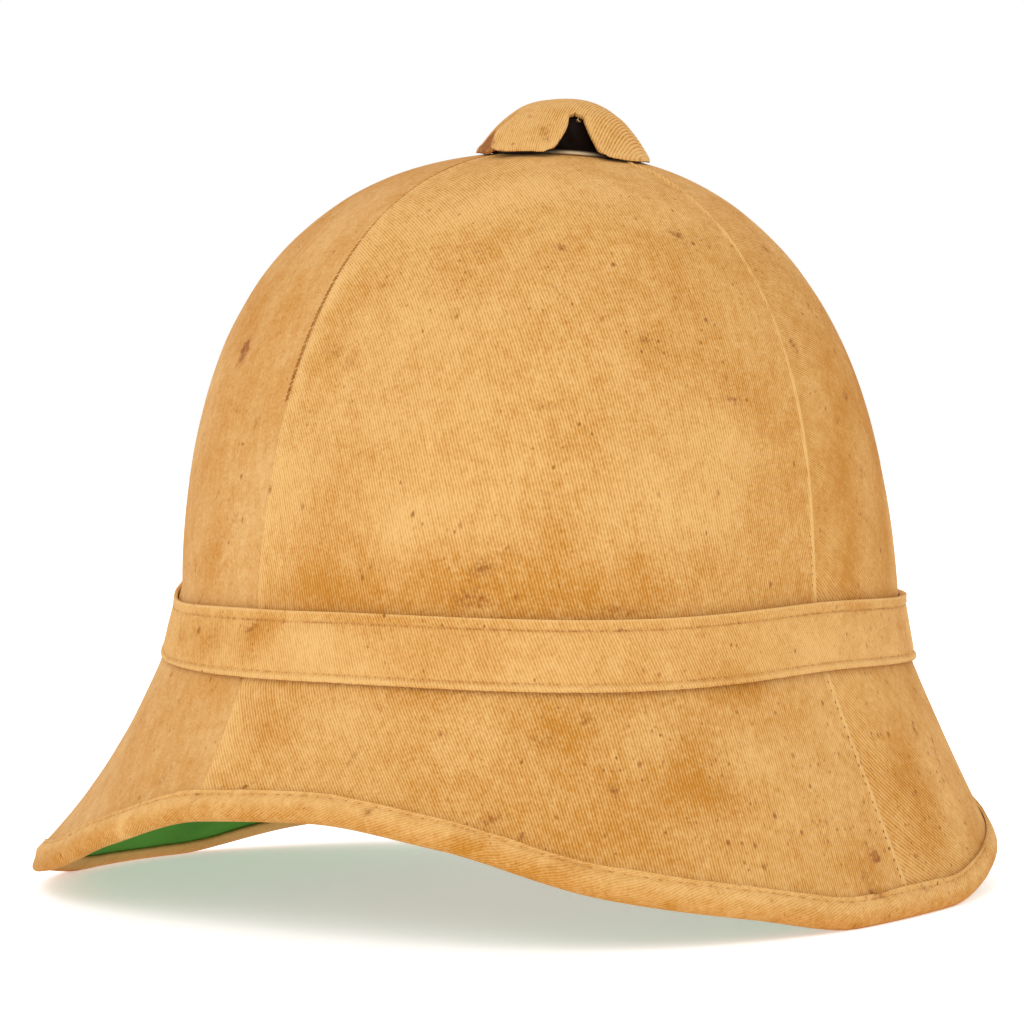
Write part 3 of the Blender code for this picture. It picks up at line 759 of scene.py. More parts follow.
TWILL, taken, given = new_group(
    "twill weave",
    {"Weave": ("Vector", None), "Pitch": ("Float", RIB_PITCH), "Wander": ("Float", RIB_WANDER)},
    {"Height": "Float", "Rib": "Float", "Thread": "Float"})
parted = TWILL.nodes.new("ShaderNodeSeparateXYZ")
link(TWILL, taken["Weave"], parted.inputs[0])
weave_place = combine(TWILL, parted.outputs["X"], parted.outputs["Y"])
slow_bend = calc(TWILL, "SUBTRACT", noise(TWILL, weave_place, SLOW_BEND), 0.5)
quick_bend = calc(TWILL, "SUBTRACT", noise(TWILL, weave_place, QUICK_BEND), 0.5)
bend = calc(TWILL, "MULTIPLY_ADD", quick_bend, 0.35, slow_bend)
rib_number = calc(TWILL, "DIVIDE", parted.outputs["X"], taken["Pitch"])
rib_number = calc(TWILL, "MULTIPLY_ADD", bend, taken["Wander"], rib_number)
rib_wave = calc(TWILL, "COSINE", calc(TWILL, "MULTIPLY", rib_number, WHOLE_TURN))
rib_crest = calc(TWILL, "MULTIPLY_ADD", rib_wave, 0.5, 0.5)
float_place = combine(TWILL, rib_number, calc(TWILL, "DIVIDE", parted.outputs["Y"], FLOAT_LENGTH))
floats = noise(TWILL, float_place, 1.0)
long_place = combine(TWILL, calc(TWILL, "MULTIPLY", rib_number, 0.7),
                     calc(TWILL, "DIVIDE", parted.outputs["Y"], THREAD_LENGTH))
rib_height = calc(TWILL, "MULTIPLY_ADD", calc(TWILL, "SUBTRACT", floats, 0.5), 0.7, rib_crest)
link(TWILL, rib_height, given["Height"])
link(TWILL, rib_crest, given["Rib"])
link(TWILL, calc(TWILL, "ADD", calc(TWILL, "MULTIPLY", floats, 0.6),
                 calc(TWILL, "MULTIPLY", noise(TWILL, long_place, 1.0, 1.0), 0.4)), given["Thread"])
print("twill: ribs", RIB_PITCH / MM, "mm apart")

# %% [markdown]
# ## Cloth by nodes: age
#
# Old khaki isn't one colour. It drifts between a pale straw where it has been rubbed or has faded, and a
# deep orange tan where dirt and damp have settled, in clouds of every size. Over that lie brown specks of
# foxing, thick in some places and almost absent in others, and the charted stains. The second group mixes
# all of it from the point masks, and also says where the cloth is a little less rough.

# %% the aged cloth group
SPECK_CELL = 3.8 * MM
FINE_CELL = 1.9 * MM
FADED = (0.70, 0.41, 0.145, 1)
DEEP = (0.445, 0.172, 0.014, 1)
# a dark brown for soil and specks, also mixed in as painted shade
DIRT_AND_SHADE = (0.225, 0.052, 0.004, 1)

AGED, taken, given = new_group(
    "aged cloth",
    {"Place": ("Vector", None), "Rib": ("Float", 1.0), "Rib Contrast": ("Float", 0.3),
     "Thread": ("Float", 0.5), "Mottle": ("Float", 1.0), "Worn": ("Float", 0.0), "Soil": ("Float", 0.0),
     "Rust": ("Float", 0.0), "Pale": ("Float", 0.0), "Specks": ("Float", 0.5), "Spots": ("Float", 0.0),
     "Tone": ("Float", 0.5), "Faded": ("Color", FADED), "Deep": ("Color", DEEP), "Dirt_And_Shade": ("Color", DIRT_AND_SHADE)},
    {"Color": "Color", "Roughness": "Float"})
ragged = calc(AGED, "SUBTRACT", noise(AGED, taken["Place"], 1.7 * MM, 3.0, 0.7), 0.5)
tone = taken["Tone"]
# the clouds' sizes, detail and strength; the small ones follow the cloth's mottle
for cloud_size, cloud_detail, amount in (
        (48 * MM, 1.0, 0.45), (13 * MM, 2.0, 0.55),
        (3.2 * MM, 2.0, calc(AGED, "MULTIPLY", taken["Mottle"], 0.75)),
        (1.0 * MM, 1.0, calc(AGED, "MULTIPLY", taken["Mottle"], 0.40))):
    cloud = calc(AGED, "SUBTRACT", noise(AGED, taken["Place"], cloud_size, cloud_detail), 0.5)
    tone = calc(AGED, "MULTIPLY_ADD", cloud, amount, tone)
# rib crests paler and valleys darker: partly dirt in the valleys, partly painted shade of the fine relief
tone = calc(AGED, "MULTIPLY_ADD", calc(AGED, "SUBTRACT", taken["Rib"], 0.5), taken["Rib Contrast"], tone)
tone = calc(AGED, "MULTIPLY_ADD", calc(AGED, "SUBTRACT", taken["Thread"], 0.5), taken["Mottle"], tone)
# Worn lifts the tone and a negative Worn lowers it: wear, painted light on the binding and painted shade on
# the cap
tone = calc(AGED, "MULTIPLY_ADD", taken["Worn"], 0.45, tone)
tone = calc(AGED, "MULTIPLY_ADD", calc(AGED, "MULTIPLY_ADD", ragged, 1.2, 1.0),
            calc(AGED, "MULTIPLY", taken["Pale"], 0.4), tone)
# Rust deepens the tone: rust, and painted shade on the binding's lower half
tone = calc(AGED, "MULTIPLY_ADD", calc(AGED, "MULTIPLY_ADD", ragged, 1.6, 1.0),
            calc(AGED, "MULTIPLY", taken["Rust"], -0.45), tone)
cloth_colour = mix(AGED, calc(AGED, "ADD", tone, 0.0, clamp=True), taken["Deep"], taken["Faded"])


def speckled(cell, small, large, density):
    """Round specks of random size: one cell in a few holds a speck, more of them where density is high."""
    cells = AGED.nodes.new("ShaderNodeTexVoronoi")
    link(AGED, scaled(AGED, taken["Place"], (1, 1, 0.65)), cells.inputs["Vector"])
    cells.inputs["Scale"].default_value = 1 / cell
    dice = AGED.nodes.new("ShaderNodeSeparateColor")
    link(AGED, cells.outputs["Color"], dice.inputs[0])
    held = calc(AGED, "LESS_THAN", dice.outputs[0], density)
    size = calc(AGED, "MULTIPLY_ADD", dice.outputs[1], large - small, small)
    edge = calc(AGED, "MULTIPLY_ADD", ragged, 0.12, cells.outputs["Distance"])
    spot = between(AGED, calc(AGED, "DIVIDE", edge, size), 1.0, 0.3)
    return calc(AGED, "MULTIPLY", calc(AGED, "MULTIPLY", spot, held),
                calc(AGED, "MULTIPLY_ADD", dice.outputs[2], 0.6, 0.4))


patchy = between(AGED, noise(AGED, taken["Place"], 30 * MM, 1.0), 0.38, 0.68)
density = calc(AGED, "MULTIPLY_ADD", patchy, taken["Specks"], calc(AGED, "MULTIPLY", taken["Spots"], 0.8))
specks = calc(AGED, "MAXIMUM", speckled(SPECK_CELL, 0.10, 0.28, density),
              speckled(FINE_CELL, 0.14, 0.34, calc(AGED, "MULTIPLY", density, 0.7)))
# Soil mixes in the dark colour: real soil, and painted shade under the band, at the petals' feet and on the
# tucked strip
soil_edge = calc(AGED, "MULTIPLY_ADD", ragged, 2.4, taken["Soil"])
soiled = calc(AGED, "MULTIPLY", between(AGED, soil_edge, 0.12, 1.1),
              calc(AGED, "MULTIPLY", taken["Soil"], 1.5, clamp=True))
dirt_and_shade = calc(AGED, "MULTIPLY", calc(AGED, "MAXIMUM", specks, soiled), 0.82)
link(AGED, mix(AGED, dirt_and_shade, cloth_colour, taken["Dirt_And_Shade"]), given["Color"])
link(AGED, calc(AGED, "MULTIPLY_ADD", taken["Worn"], -0.12, 0.92), given["Roughness"])


# %% [markdown]
# ## The finishes
#
# A finish is a Principled shader with the groups placed before it. Its sheen, the soft glow of loose cotton
# fibres against the light, is the same all over, so it is set on the shader itself. The ribs also feed a
# Bump node, for they are a tenth of a millimetre deep, too fine to model and too plain to leave out.

# %% finishes
SHEEN_SPREAD = 0.45
GLOSS = 0.15                      # far under a shiny surface's 0.5


def new_finish(name, roughness, sheen=0.0):
    """A named material with a plain Principled shader; returns its tree and the shader's inputs."""
    material = bpy.data.materials.new(name)
    material.use_nodes = True
    shader = material.node_tree.nodes["Principled BSDF"].inputs
    shader["Roughness"].default_value = roughness
    shader["Sheen Weight"].default_value = sheen
    shader["Sheen Roughness"].default_value = SHEEN_SPREAD
    shader["Specular IOR Level"].default_value = GLOSS
    return material, material.node_tree, shader


def place_group(tree, group, **values):
    """Puts a node group in a tree and feeds its inputs; words in a name are joined by underscores."""
    node = tree.nodes.new("ShaderNodeGroup")
    node.node_tree = group
    for label, value in values.items():
        link(tree, value, node.inputs[label.replace("_", " ")])
    return node.outputs


def bump(tree, height, depth):
    """The normal of a surface with that relief, depth in metres for a height of 1."""
    node = tree.nodes.new("ShaderNodeBump")
    node.inputs["Distance"].default_value = depth
    link(tree, height, node.inputs["Height"])
    return node.outputs[0]


def cloth_finish(name, rib_contrast, rib_depth, tone, specks, mottle, faded=FADED, pitch=RIB_PITCH):
    """Aged khaki twill: ribs of a contrast and depth, a mean tone from deep 0 to faded 1, and specks."""
    material, tree, shader = new_finish(name, 0.92, 0.02)
    place = object_place(tree)
    twill = place_group(tree, TWILL, Weave=weave_place_of(tree), Pitch=pitch)
    aged = place_group(
        tree, AGED, Place=place, Rib=twill["Rib"], Rib_Contrast=rib_contrast, Thread=twill["Thread"],
        Worn=attribute(tree, "worn"), Soil=attribute(tree, "soil"), Rust=attribute(tree, "rust_and_shade"),
        Pale=attribute(tree, "pale"), Spots=attribute(tree, "spots"), Specks=specks,
        Mottle=mottle, Tone=tone, Faded=faded)
    link(tree, aged["Color"], shader["Base Color"])
    link(tree, aged["Roughness"], shader["Roughness"])
    link(tree, bump(tree, twill["Height"], rib_depth), shader["Normal"])
    return material


SIDE_FADED = (0.665, 0.405, 0.165, 1)
# each: contrast and depth of the ribs, tone, specks, mottle; then its own faded colour or its finer ribs
BACK_DRILL = cloth_finish("tan_drill_back", 0.58, 0.13 * MM, 0.53, 0.14, 0.90)
SIDE_DRILL = cloth_finish("tan_drill_side", 0.10, 0.05 * MM, 0.47, 0.20, 0.70, SIDE_FADED)
FAR_DRILL = cloth_finish("tan_drill_far", 0.50, 0.11 * MM, 0.48, 0.24, 0.80)
BAND_TWILL = cloth_finish("tan_twill_band", 0.52, 0.12 * MM, 0.68, 0.20, 0.75)
BINDING_TWILL = cloth_finish("tan_twill_binding", 0.36, 0.08 * MM, 0.50, 0.18, 0.80, pitch=0.75 * MM)
CAP_TWILL = cloth_finish("tan_twill_cap", 0.85, 0.14 * MM, 0.75, 0.10, 0.85, pitch=0.72 * MM)

# %% [markdown]
# The green cotton under the brim is a plain weave, over and under, so its relief is the product of two
# waves. It hardly sees the light, and has kept its colour better than the outside.

# %% the lining's finish
THREAD_PITCH = 0.55 * MM
GREEN_COTTON, tree, shader = new_finish("green_cotton", 0.9, 0.03)
place = object_place(tree)
parted = tree.nodes.new("ShaderNodeSeparateXYZ")
link(tree, weave_place_of(tree), parted.inputs[0])
waves = [calc(tree, "SINE", calc(tree, "MULTIPLY", parted.outputs[axis], WHOLE_TURN / THREAD_PITCH))
         for axis in ("X", "Y")]
plain_weave = calc(tree, "MULTIPLY_ADD", calc(tree, "MULTIPLY", *waves), 0.5, 0.5)
green = mix(tree, noise(tree, place, 14 * MM, 3.0), (0.090, 0.300, 0.038, 1), (0.140, 0.390, 0.058, 1))
green = mix(tree, calc(tree, "MULTIPLY", plain_weave, 0.25), green, (0.030, 0.170, 0.026, 1))
link(tree, mix(tree, attribute(tree, "soil"), green, (0.05, 0.06, 0.02, 1)), shader["Base Color"])
link(tree, bump(tree, plain_weave, 0.06 * MM), shader["Normal"])

# %% [markdown]
# Pith is the spongy core of a marsh plant, cut in thin leaves that are pasted over a mould. Inside the
# crown it is left bare: a pale buff, soft and matt, with the leaves' long fibres and a few paste marks.

# %% the pith's finish
FIBRE_WIDTH, FIBRE_LENGTH = 0.5 * MM, 14 * MM
LEAF_WIDTH, LEAF_LENGTH = 30 * MM, 55 * MM
RAW_PITH, tree, shader = new_finish("raw_pith", 0.95, 0.05)
place = object_place(tree)
weave = weave_place_of(tree)
fibres = noise(tree, scaled(tree, weave, (1 / FIBRE_WIDTH, 1 / FIBRE_LENGTH, 1)), 1.0, 2.0)
leaves = noise(tree, scaled(tree, weave, (1 / LEAF_WIDTH, 1 / LEAF_LENGTH, 1)), 1.0, 1.0)
buff = mix(tree, fibres, (0.50, 0.37, 0.21, 1), (0.74, 0.62, 0.42, 1))
buff = mix(tree, between(tree, leaves, 0.42, 0.62), buff, (0.58, 0.43, 0.25, 1))
buff = mix(tree, between(tree, noise(tree, place, 9 * MM, 4.0), 0.56, 0.75), buff, (0.42, 0.28, 0.14, 1))
link(tree, buff, shader["Base Color"])
relief = calc(tree, "MULTIPLY_ADD", fibres, 0.4, between(tree, leaves, 0.49, 0.53))
link(tree, bump(tree, relief, 0.25 * MM), shader["Normal"])

# %% [markdown]
# The collar in the vent is tinplate with a cream coat, painted near black up its neck and under the petals
# as painted shade. Thread is a brown cotton, darker in its grooves. Both have a small scale, so a little
# noise does.

# %% tin and thread
PALE_TIN, tree, shader = new_finish("pale_tin", 0.5)
place = object_place(tree)
cream = mix(tree, noise(tree, place, 4 * MM, 4.0), (0.38, 0.27, 0.15, 1), (0.56, 0.44, 0.27, 1))
# the collar's mask turns the cream near black: painted shade up its neck and under the petals
link(tree, mix(tree, attribute(tree, "soil"), cream, (0.010, 0.003, 0.001, 1)), shader["Base Color"])
link(tree, between(tree, noise(tree, place, 3 * MM, 3.0), 0.2, 0.8, 0.6, 0.95), shader["Roughness"])


def thread_finish(name, dark, light):
    """Twisted cotton thread: fine noise between two browns."""
    material, tree, shader = new_finish(name, 0.9)
    fine = noise(tree, object_place(tree), 0.5 * MM, 2.0)
    link(tree, mix(tree, fine, dark, light), shader["Base Color"])
    link(tree, bump(tree, fine, 0.08 * MM), shader["Normal"])
    return material


BROWN_THREAD = thread_finish("brown_thread", (0.15, 0.055, 0.014, 1), (0.36, 0.155, 0.042, 1))
SEAM_THREAD = thread_finish("seam_thread", (0.24, 0.075, 0.010, 1), (0.50, 0.205, 0.040, 1))
TAN_THREAD = thread_finish("tan_thread", (0.33, 0.135, 0.033, 1), (0.56, 0.28, 0.085, 1))
PALE_THREAD = thread_finish("pale_thread", (0.60, 0.38, 0.16, 1), (0.76, 0.54, 0.28, 1))

# %% [markdown]
# ## The four gores
#
# The cover is four pointed gores of twilled cotton, cut flat, sewn to each other from the vent to the rim,
# and glued over the pith. Each is a grid from seam to seam and from rim to vent, laid on the skin, with a
# little unevenness where the glue has let go. The ribs follow the flat cloth and not the crown, so every
# row of the grid is laid out as the arc that it had before it was bent: that is what makes the ribs lean
# differently on either side of a seam. The grid's columns crowd at both seams, where the edges are rolled.

# %% rows, columns and the flat cloth
COVER_INSET = 5.2 * MM            # the cloth ends this far above the rim, inside the binding
EDGE_STEPS = np.array([0, 0.15, 0.35, 0.6, 0.85, 1.1, 1.4, 1.8, 2.4, 3.2, 4.4]) * MM
BRIM_ROWS, BAND_ROWS, CROWN_ROWS = 52, 6, 132
BAND_MIDDLE = 1.5                 # climb
LEAST_BEND = 0.01                 # 1 / metres, for a row that is all but straight
BEND_ROWS = 13                    # rows over which the bend is evened out


def climb_rows(angle, inset, last, brim_rows, band_rows, crown_rows):
    """Climbs from an inset above the rim, for each column: rows up the brim, the band zone, the crown."""
    first = climb_from_rim(angle, inset)
    up_brim = first + (1 - first) * np.linspace(0, 1, brim_rows)[:, None]
    above = np.concatenate([np.linspace(1, 2, band_rows)[1:], np.linspace(2, 3, crown_rows)[1:]])
    above = above[above <= last]
    return np.concatenate([up_brim, np.repeat(above[:, None], len(angle), axis=1)])


def ribbed(u, v, turn):
    """Coordinates across and along ribs that lean from upright by a turn, from u round and v up."""
    return np.stack([u * np.cos(turn) + v * np.sin(turn), v * np.cos(turn) - u * np.sin(turn)], axis=-1)


def flattened(points, turn):
    """The cloth's own coordinates: a row is laid out as the arc that the curved surface bends it to.

    A row's bend is how fast the rows above it shorten: -(d width / d height) / width."""
    middle = points.shape[1] // 2
    across = run_along(points, 1)
    across -= across[:, [middle]]
    up = run_along(points[:, middle], 0)
    width = across[:, middle + 2] - across[:, middle - 2]
    bend = -np.gradient(np.log(width), up)
    padded = np.pad(bend, BEND_ROWS // 2, mode="edge")
    bend = np.convolve(padded, np.ones(BEND_ROWS) / BEND_ROWS, mode="valid")[:, None]
    bend = np.where(np.abs(bend) < LEAST_BEND, LEAST_BEND, bend)
    u = np.sin(bend * across) / bend
    v = up[:, None] + (1 - np.cos(bend * across)) / bend
    return ribbed(u, v, turn)


# %% [markdown]
# One function cuts a gore, lays it on the skin, rolls its edges, soils its valleys and rubs its ridges. The
# four gores then differ only in their seams, their grain and their finish.

# %% one gore
COARSE = 9                        # columns at which the width of a row is first measured
SWELL, SWELL_SIZE = 0.35 * MM, 38 * MM    # where the glue has let go, the cloth stands off in swells
RIPPLE, RIPPLE_SIZE = 0.10 * MM, 11 * MM  # and ripples
VALLEY_DEPTH = 0.10 * MM


def rolled_edge(away, width):
    """Height of a rolled seam allowance: a half round of that width, from 0 to 1."""
    return np.sqrt(np.clip(1 - (2 * away / width - 1) ** 2, 0, 1))


def gore(name, start, end, columns, grain, rolls, sunk, material):
    """A gore from seam to seam and from rim to vent; grain is the ribs' lean on the brim and on the crown.

    rolls are the rolled ridges on its two edges: width, height, how pale it is rubbed, how much of it is
    left on the brim, and how far the cloth beside it is rubbed. sunk are the widths of soiled valleys."""
    angle = np.linspace(start, end, COARSE)
    climb = climb_rows(angle, COVER_INSET, 3, BRIM_ROWS, BAND_ROWS, CROWN_ROWS)
    reach = [np.hypot(*skin(angle[side], climb[:, side])[:, :2].T) for side in (0, -1)]
    width = (reach[0] + reach[1]) / 2 * (end - start)
    steps = EDGE_STEPS[:, None] / width
    middle = steps[-1] + (1 - 2 * steps[-1]) * np.linspace(0, 1, columns)[1:-1, None]
    share = np.concatenate([steps, middle, 1 - steps[::-1]]).T
    angle = start + (end - start) * share
    climb = np.stack([np.interp(share[row], np.linspace(0, 1, COARSE), climb[row])
                      for row in range(len(climb))])
    skin_points = skin(angle, climb)
    lift = SWELL * soft_noise(skin_points, SWELL_SIZE, 3) + RIPPLE * soft_noise(skin_points, RIPPLE_SIZE, 4)
    lift *= (ease((climb - 0.05) / 0.3) * ease(np.abs(climb - BAND_MIDDLE) / 0.3 - 1.6)
             * ease((3 - climb) / 0.2))
    marks = stains_on(skin_points)
    worn = 0.25 * ease(soft_noise(skin_points, 30 * MM, 8) + 0.2)
    from_edge = share * width[:, None]
    for roll, valley, away in zip(rolls, sunk, (from_edge, width[:, None] - from_edge)):
        if roll:
            roll_width, roll_height, rubbed, on_brim, rubbed_width = roll
            beads = 1 + 0.5 * soft_noise(skin_points, 2.2 * MM, 5) + 0.4 * soft_noise(skin_points, 14 * MM, 6)
            ridge = beads * rolled_edge(away, roll_width * (1 + 0.2 * soft_noise(skin_points, 4 * MM, 7)))
            ridge *= on_brim + (1 - on_brim) * ease((climb - 0.9) / 0.3)
            lift += roll_height * ridge * (0.6 + 0.4 * ease((climb - 2.1) / 0.5))
            faint = 0.35 + 0.65 * ease((2.85 - climb) / 0.3)
            beside = bell(away, rubbed_width) * (0.8 + 0.6 * soft_noise(skin_points, 6 * MM, 8))
            worn = np.maximum(worn, (rubbed * ridge + 0.5 * beside) * faint)
        if valley:
            hollow = ease((valley - away) / (0.5 * MM))
            lift -= VALLEY_DEPTH * hollow
            marks["soil"] += 0.30 * hollow * ease(0.6 + soft_noise(skin_points, 5 * MM, 9))
    marks["soil"] += 0.22 * bell(climb - 2.02, 0.035) * ease(0.7 + soft_noise(skin_points, 24 * MM, 10))
    # painted shade: a dark line on the brim just under the band's foot
    marks["soil"] += 0.35 * bell((climb - 0.998) * 60, 1.0)
    points = lifted(angle, climb, lift)
    turn = np.where(climb < BAND_MIDDLE, *grain)
    piece = grid_object(name, points, flattened(points, turn), worn=worn, **marks)
    thicken(piece, CLOTH)
    dress(piece, material, "tan_drill", name.replace("gore", "cover"))


# %% [markdown]
# The two halves of the cover were cut with their grain at different slants, so the ribs lean one way left of
# the back seam and steeper right of it. A rolled edge stands along the seams at the back and the front and,
# lower and wider, along those over the ears; it is given to the gore that lies on top.

# %% sewing the cover
LEFT_GRAIN = (math.radians(20), math.radians(17))
RIGHT_GRAIN = (math.radians(36), math.radians(52))
SIDE_ROLL = (2.4 * MM, 0.22 * MM, 0.35, 0.10, 7 * MM)
BACK_ROLL = (2.0 * MM, 0.42 * MM, 1.0, 0.9, 2.6 * MM)
WIDE_VALLEY = 1.5 * MM            # the soiled strip beside the roll over the ear
VALLEY = 0.7 * MM                 # and beside the roll at the back or the front
OTHER_SIDE = 2 * np.pi - SIDE_SEAM
FRONT_COLUMNS, BACK_COLUMNS = 90, 130

gore("gore_front_left", 0, SIDE_SEAM, FRONT_COLUMNS, LEFT_GRAIN,
     (BACK_ROLL, None), (0, WIDE_VALLEY), SIDE_DRILL)
gore("gore_back_left", SIDE_SEAM, np.pi, BACK_COLUMNS, LEFT_GRAIN,
     (SIDE_ROLL, BACK_ROLL), (0, 0), BACK_DRILL)
gore("gore_back_right", np.pi, OTHER_SIDE, BACK_COLUMNS, RIGHT_GRAIN,
     (None, SIDE_ROLL), (VALLEY, 0), FAR_DRILL)
gore("gore_front_right", OTHER_SIDE, 2 * np.pi, FRONT_COLUMNS, RIGHT_GRAIN,
     (None, None), (WIDE_VALLEY, VALLEY), SIDE_DRILL)

# %% [markdown]
# ## Stitches
#
# Every seam and hem on this helmet shows its thread. One stitch is a short thick thread that dives into the
# cloth at both ends. A row of them is a single mesh: five rings of six points for each stitch, placed by
# its middle, its direction and the cloth's normal, all in one array.

# %% a row of stitches
STITCH_STATIONS = np.array([-1, -0.65, 0, 0.65, 1])
STITCH_THICKNESS = np.array([0.45, 0.9, 1, 0.9, 0.45])
STITCH_SIDES = 6
STITCH_DIP = 1.9                  # times its rise: how far a stitch's ends dive under its middle


def stitch_row(name, middles, ways, normals, length, thickness, rise, material, slot):
    """Each stitch is a thread round its own line, for s from -1 to 1 and a dip of 1.9:

    middle + way * s * length / 2 + normal * rise * (1 - dip * s**2)."""
    ways = unit(ways)
    sides = np.cross(normals, ways)
    s = STITCH_STATIONS[:, None]
    half = np.broadcast_to(length, len(middles))[:, None, None] / 2
    height = rise * (1 - STITCH_DIP * s ** 2)
    line = middles[:, None] + ways[:, None] * half * s + normals[:, None] * height
    turn = np.arange(STITCH_SIDES) * 2 * np.pi / STITCH_SIDES
    ring = sides[:, None] * np.cos(turn)[:, None] + normals[:, None] * np.sin(turn)[:, None]
    radius = (thickness / 2 * STITCH_THICKNESS)[:, None, None]
    points = line[:, :, None] + radius * ring[:, None]
    count = len(middles)
    index = np.arange(points[..., 0].size).reshape(count, len(STITCH_STATIONS), STITCH_SIDES)
    index = closed_loop(index, -1)
    body = np.stack([index[:, :-1, :-1], index[:, 1:, :-1], index[:, 1:, 1:], index[:, :-1, 1:]], axis=-1)
    faces = body.reshape(-1, 4).tolist() + index[:, 0, :-1].tolist() + index[:, -1, -2::-1].tolist()
    dress(mesh_object(name, at_rest(points).reshape(-1, 3), faces), material, slot)


SEAM_POINTS = 900
SEAM_END = 2.99                   # climb where a seam's stitches end, under the cap
HAND_SLIP = 0.22                  # of a pitch: how far a hand-sewn stitch is from its even place


def along_seam(angle, first, pitch, aside, seed):
    """Points at a pitch up a seam, moved aside from it: angles, climbs, the ways up and the normals."""
    climb = np.linspace(first, SEAM_END, SEAM_POINTS)
    line = skin(np.full(SEAM_POINTS, angle), climb)
    run = run_along(line, 0)
    draw = np.random.default_rng(seed)
    at = np.arange(pitch, run[-1] - pitch, pitch)
    at = at + draw.uniform(-HAND_SLIP, HAND_SLIP, len(at)) * pitch
    climb = np.interp(at, run, climb)
    radius = np.hypot(*np.moveaxis(skin(np.full(len(at), angle), climb)[:, :2], -1, 0))
    turned = angle + aside / radius
    way = skin(turned, np.minimum(climb + 0.002, 3)) - skin(turned, climb - 0.002)
    return turned, climb, unit(way), outward(turned, climb)


# %% [markdown]
# The seam over the ear was drawn together by hand: short slanting stitches step over the valley beside its
# rolled edge. The seams at the back and the front were sewn from inside, and show only small dark pricks.

# %% the seams' thread
OVERCAST_PITCH = 1.35 * MM
OVERCAST_START = 2.3              # climb where the hand sewing begins
OVERCAST_ASIDE = 0.7 * MM         # from the seam, towards the front
OVERCAST_SLANT = (0.75, 0.66)     # how much of a stitch runs up the seam, and how much across it
OVERCAST_SIZE = (1.6 * MM, 0.34 * MM, 0.04 * MM)    # length, thickness, rise over the cloth
PRICK_PITCH = 2.9 * MM
PRICK_START = 0.1
PRICK_SIZE = (0.8 * MM, 0.32 * MM, 0.05 * MM)
BAND_HALF = 0.52                  # the band covers this much climb either way from its middle

for side, angle, toward_front in (("left", SIDE_SEAM, -1), ("right", OTHER_SIDE, 1)):
    turned, climb, way, normal = along_seam(angle, OVERCAST_START, OVERCAST_PITCH,
                                            toward_front * OVERCAST_ASIDE, 21)
    across_seam = np.cross(way, normal) * -toward_front
    slanted = way * OVERCAST_SLANT[0] + across_seam * OVERCAST_SLANT[1]
    stitch_row(f"overcast_{side}", skin(turned, climb), slanted, normal, *OVERCAST_SIZE,
               SEAM_THREAD, "tan_drill")
for end, angle, aside in (("back", np.pi, -1.9 * MM), ("front", 0.0, -0.45 * MM)):
    turned, climb, way, normal = along_seam(angle, PRICK_START, PRICK_PITCH, aside, 23)
    bare = np.abs(climb - BAND_MIDDLE) > BAND_HALF
    stitch_row(f"pricks_{end}", skin(turned, climb)[bare], way[bare], normal[bare], *PRICK_SIZE,
               BROWN_THREAD, "tan_drill")

# %% [markdown]
# ## The pith body and the lining
#
# Turned over, the helmet shows bare pith in the crown and green cotton under the brim. Both are closed
# rings on the same skin, further in, with their real thickness.

# %% pith and lining
PITH_INSET = 4.0 * MM             # the pith ends this far above the rim
PITH_ROUND = all_round(200)
LINING_ROUND = all_round(300)


def closed_weave(points, turn):
    """Weave coordinates of a closed grid: length round at its first row, and length up each column."""
    wrapped = closed_loop(points, 1)
    u = np.repeat(run_along(wrapped[:1], 1), len(points), axis=0)
    return ribbed(u, run_along(wrapped, 0), turn)


pith_climb = climb_rows(PITH_ROUND, PITH_INSET, last=3, brim_rows=18, band_rows=6, crown_rows=46)
pith_points = lifted(PITH_ROUND, pith_climb, -CLOTH - GAP)
pith = grid_object("pith_shell_body", pith_points, closed_weave(pith_points, 0), closed=True)
thicken(pith, PITH)
dress(pith, RAW_PITH, "raw_pith", "pith_shell")

lining_climb = climb_rows(LINING_ROUND, COVER_INSET, last=1, brim_rows=34, band_rows=2, crown_rows=2)
lining_base = skin(LINING_ROUND, lining_climb)
lining_lift = -CLOTH - PITH - 2 * GAP - 0.12 * MM * (1 + soft_noise(lining_base, 16 * MM, 12))
lining_points = lifted(LINING_ROUND, lining_climb, lining_lift)
lining_soil = 0.25 * ease(soft_noise(lining_base, 20 * MM, 13)) + 0.4 * bell(lining_climb - 1, 0.06)
lining = grid_object("brim_lining_cloth", lining_points, closed_weave(lining_points, 0), closed=True,
                     soil=lining_soil)
thicken(lining, LINING)
dress(lining, GREEN_COTTON, "green_cotton", "brim_lining")

# %% [markdown]
# ## The hat band
#
# The band is a strip of the same twill, folded double. Its upper edge is hemmed and stands a little proud
# of the crown; its foot is rolled like a cord, and a line of back-stitches runs above that roll. It laps
# over its own end on the wearer's left. The section is a profile of height and thickness, carried round.

# %% the band's profile and its lap
BAND_COLUMNS = 960
BAND_GRAIN = math.radians(25)
FOOT_ROLL = 1.9 * MM              # height of the rolled foot
FOOT_STITCH = 2.45 * MM
HEM_STITCH = 17.0 * MM
HEM_EDGE = 18.6 * MM              # from here up the hem is thickest
LAP_PIXEL = (242, 612)            # where the photograph shows the end of the lap, across and down
LAP_ANGLE = skin_at_pixel(*LAP_PIXEL)[0]


def band_relief(up):
    """Thickness of the band at a height over its foot.

    It grows evenly from foot to lip; a rolled foot and a hem are added, and two stitched grooves cut in."""
    thick = 1.05 * MM + 0.75 * MM * up / BAND_HEIGHT
    thick = thick + 0.42 * MM * rolled_edge(up, FOOT_ROLL) * (up < FOOT_ROLL)
    thick = thick + 0.30 * MM * ease((up - HEM_STITCH) / (0.5 * MM))
    thick = thick + 0.30 * MM * ease((up - HEM_EDGE) / (0.9 * MM))
    thick = thick - 0.34 * MM * bell(up - HEM_STITCH, 0.4 * MM)
    return thick - 0.32 * MM * bell(up - FOOT_STITCH, 0.38 * MM)


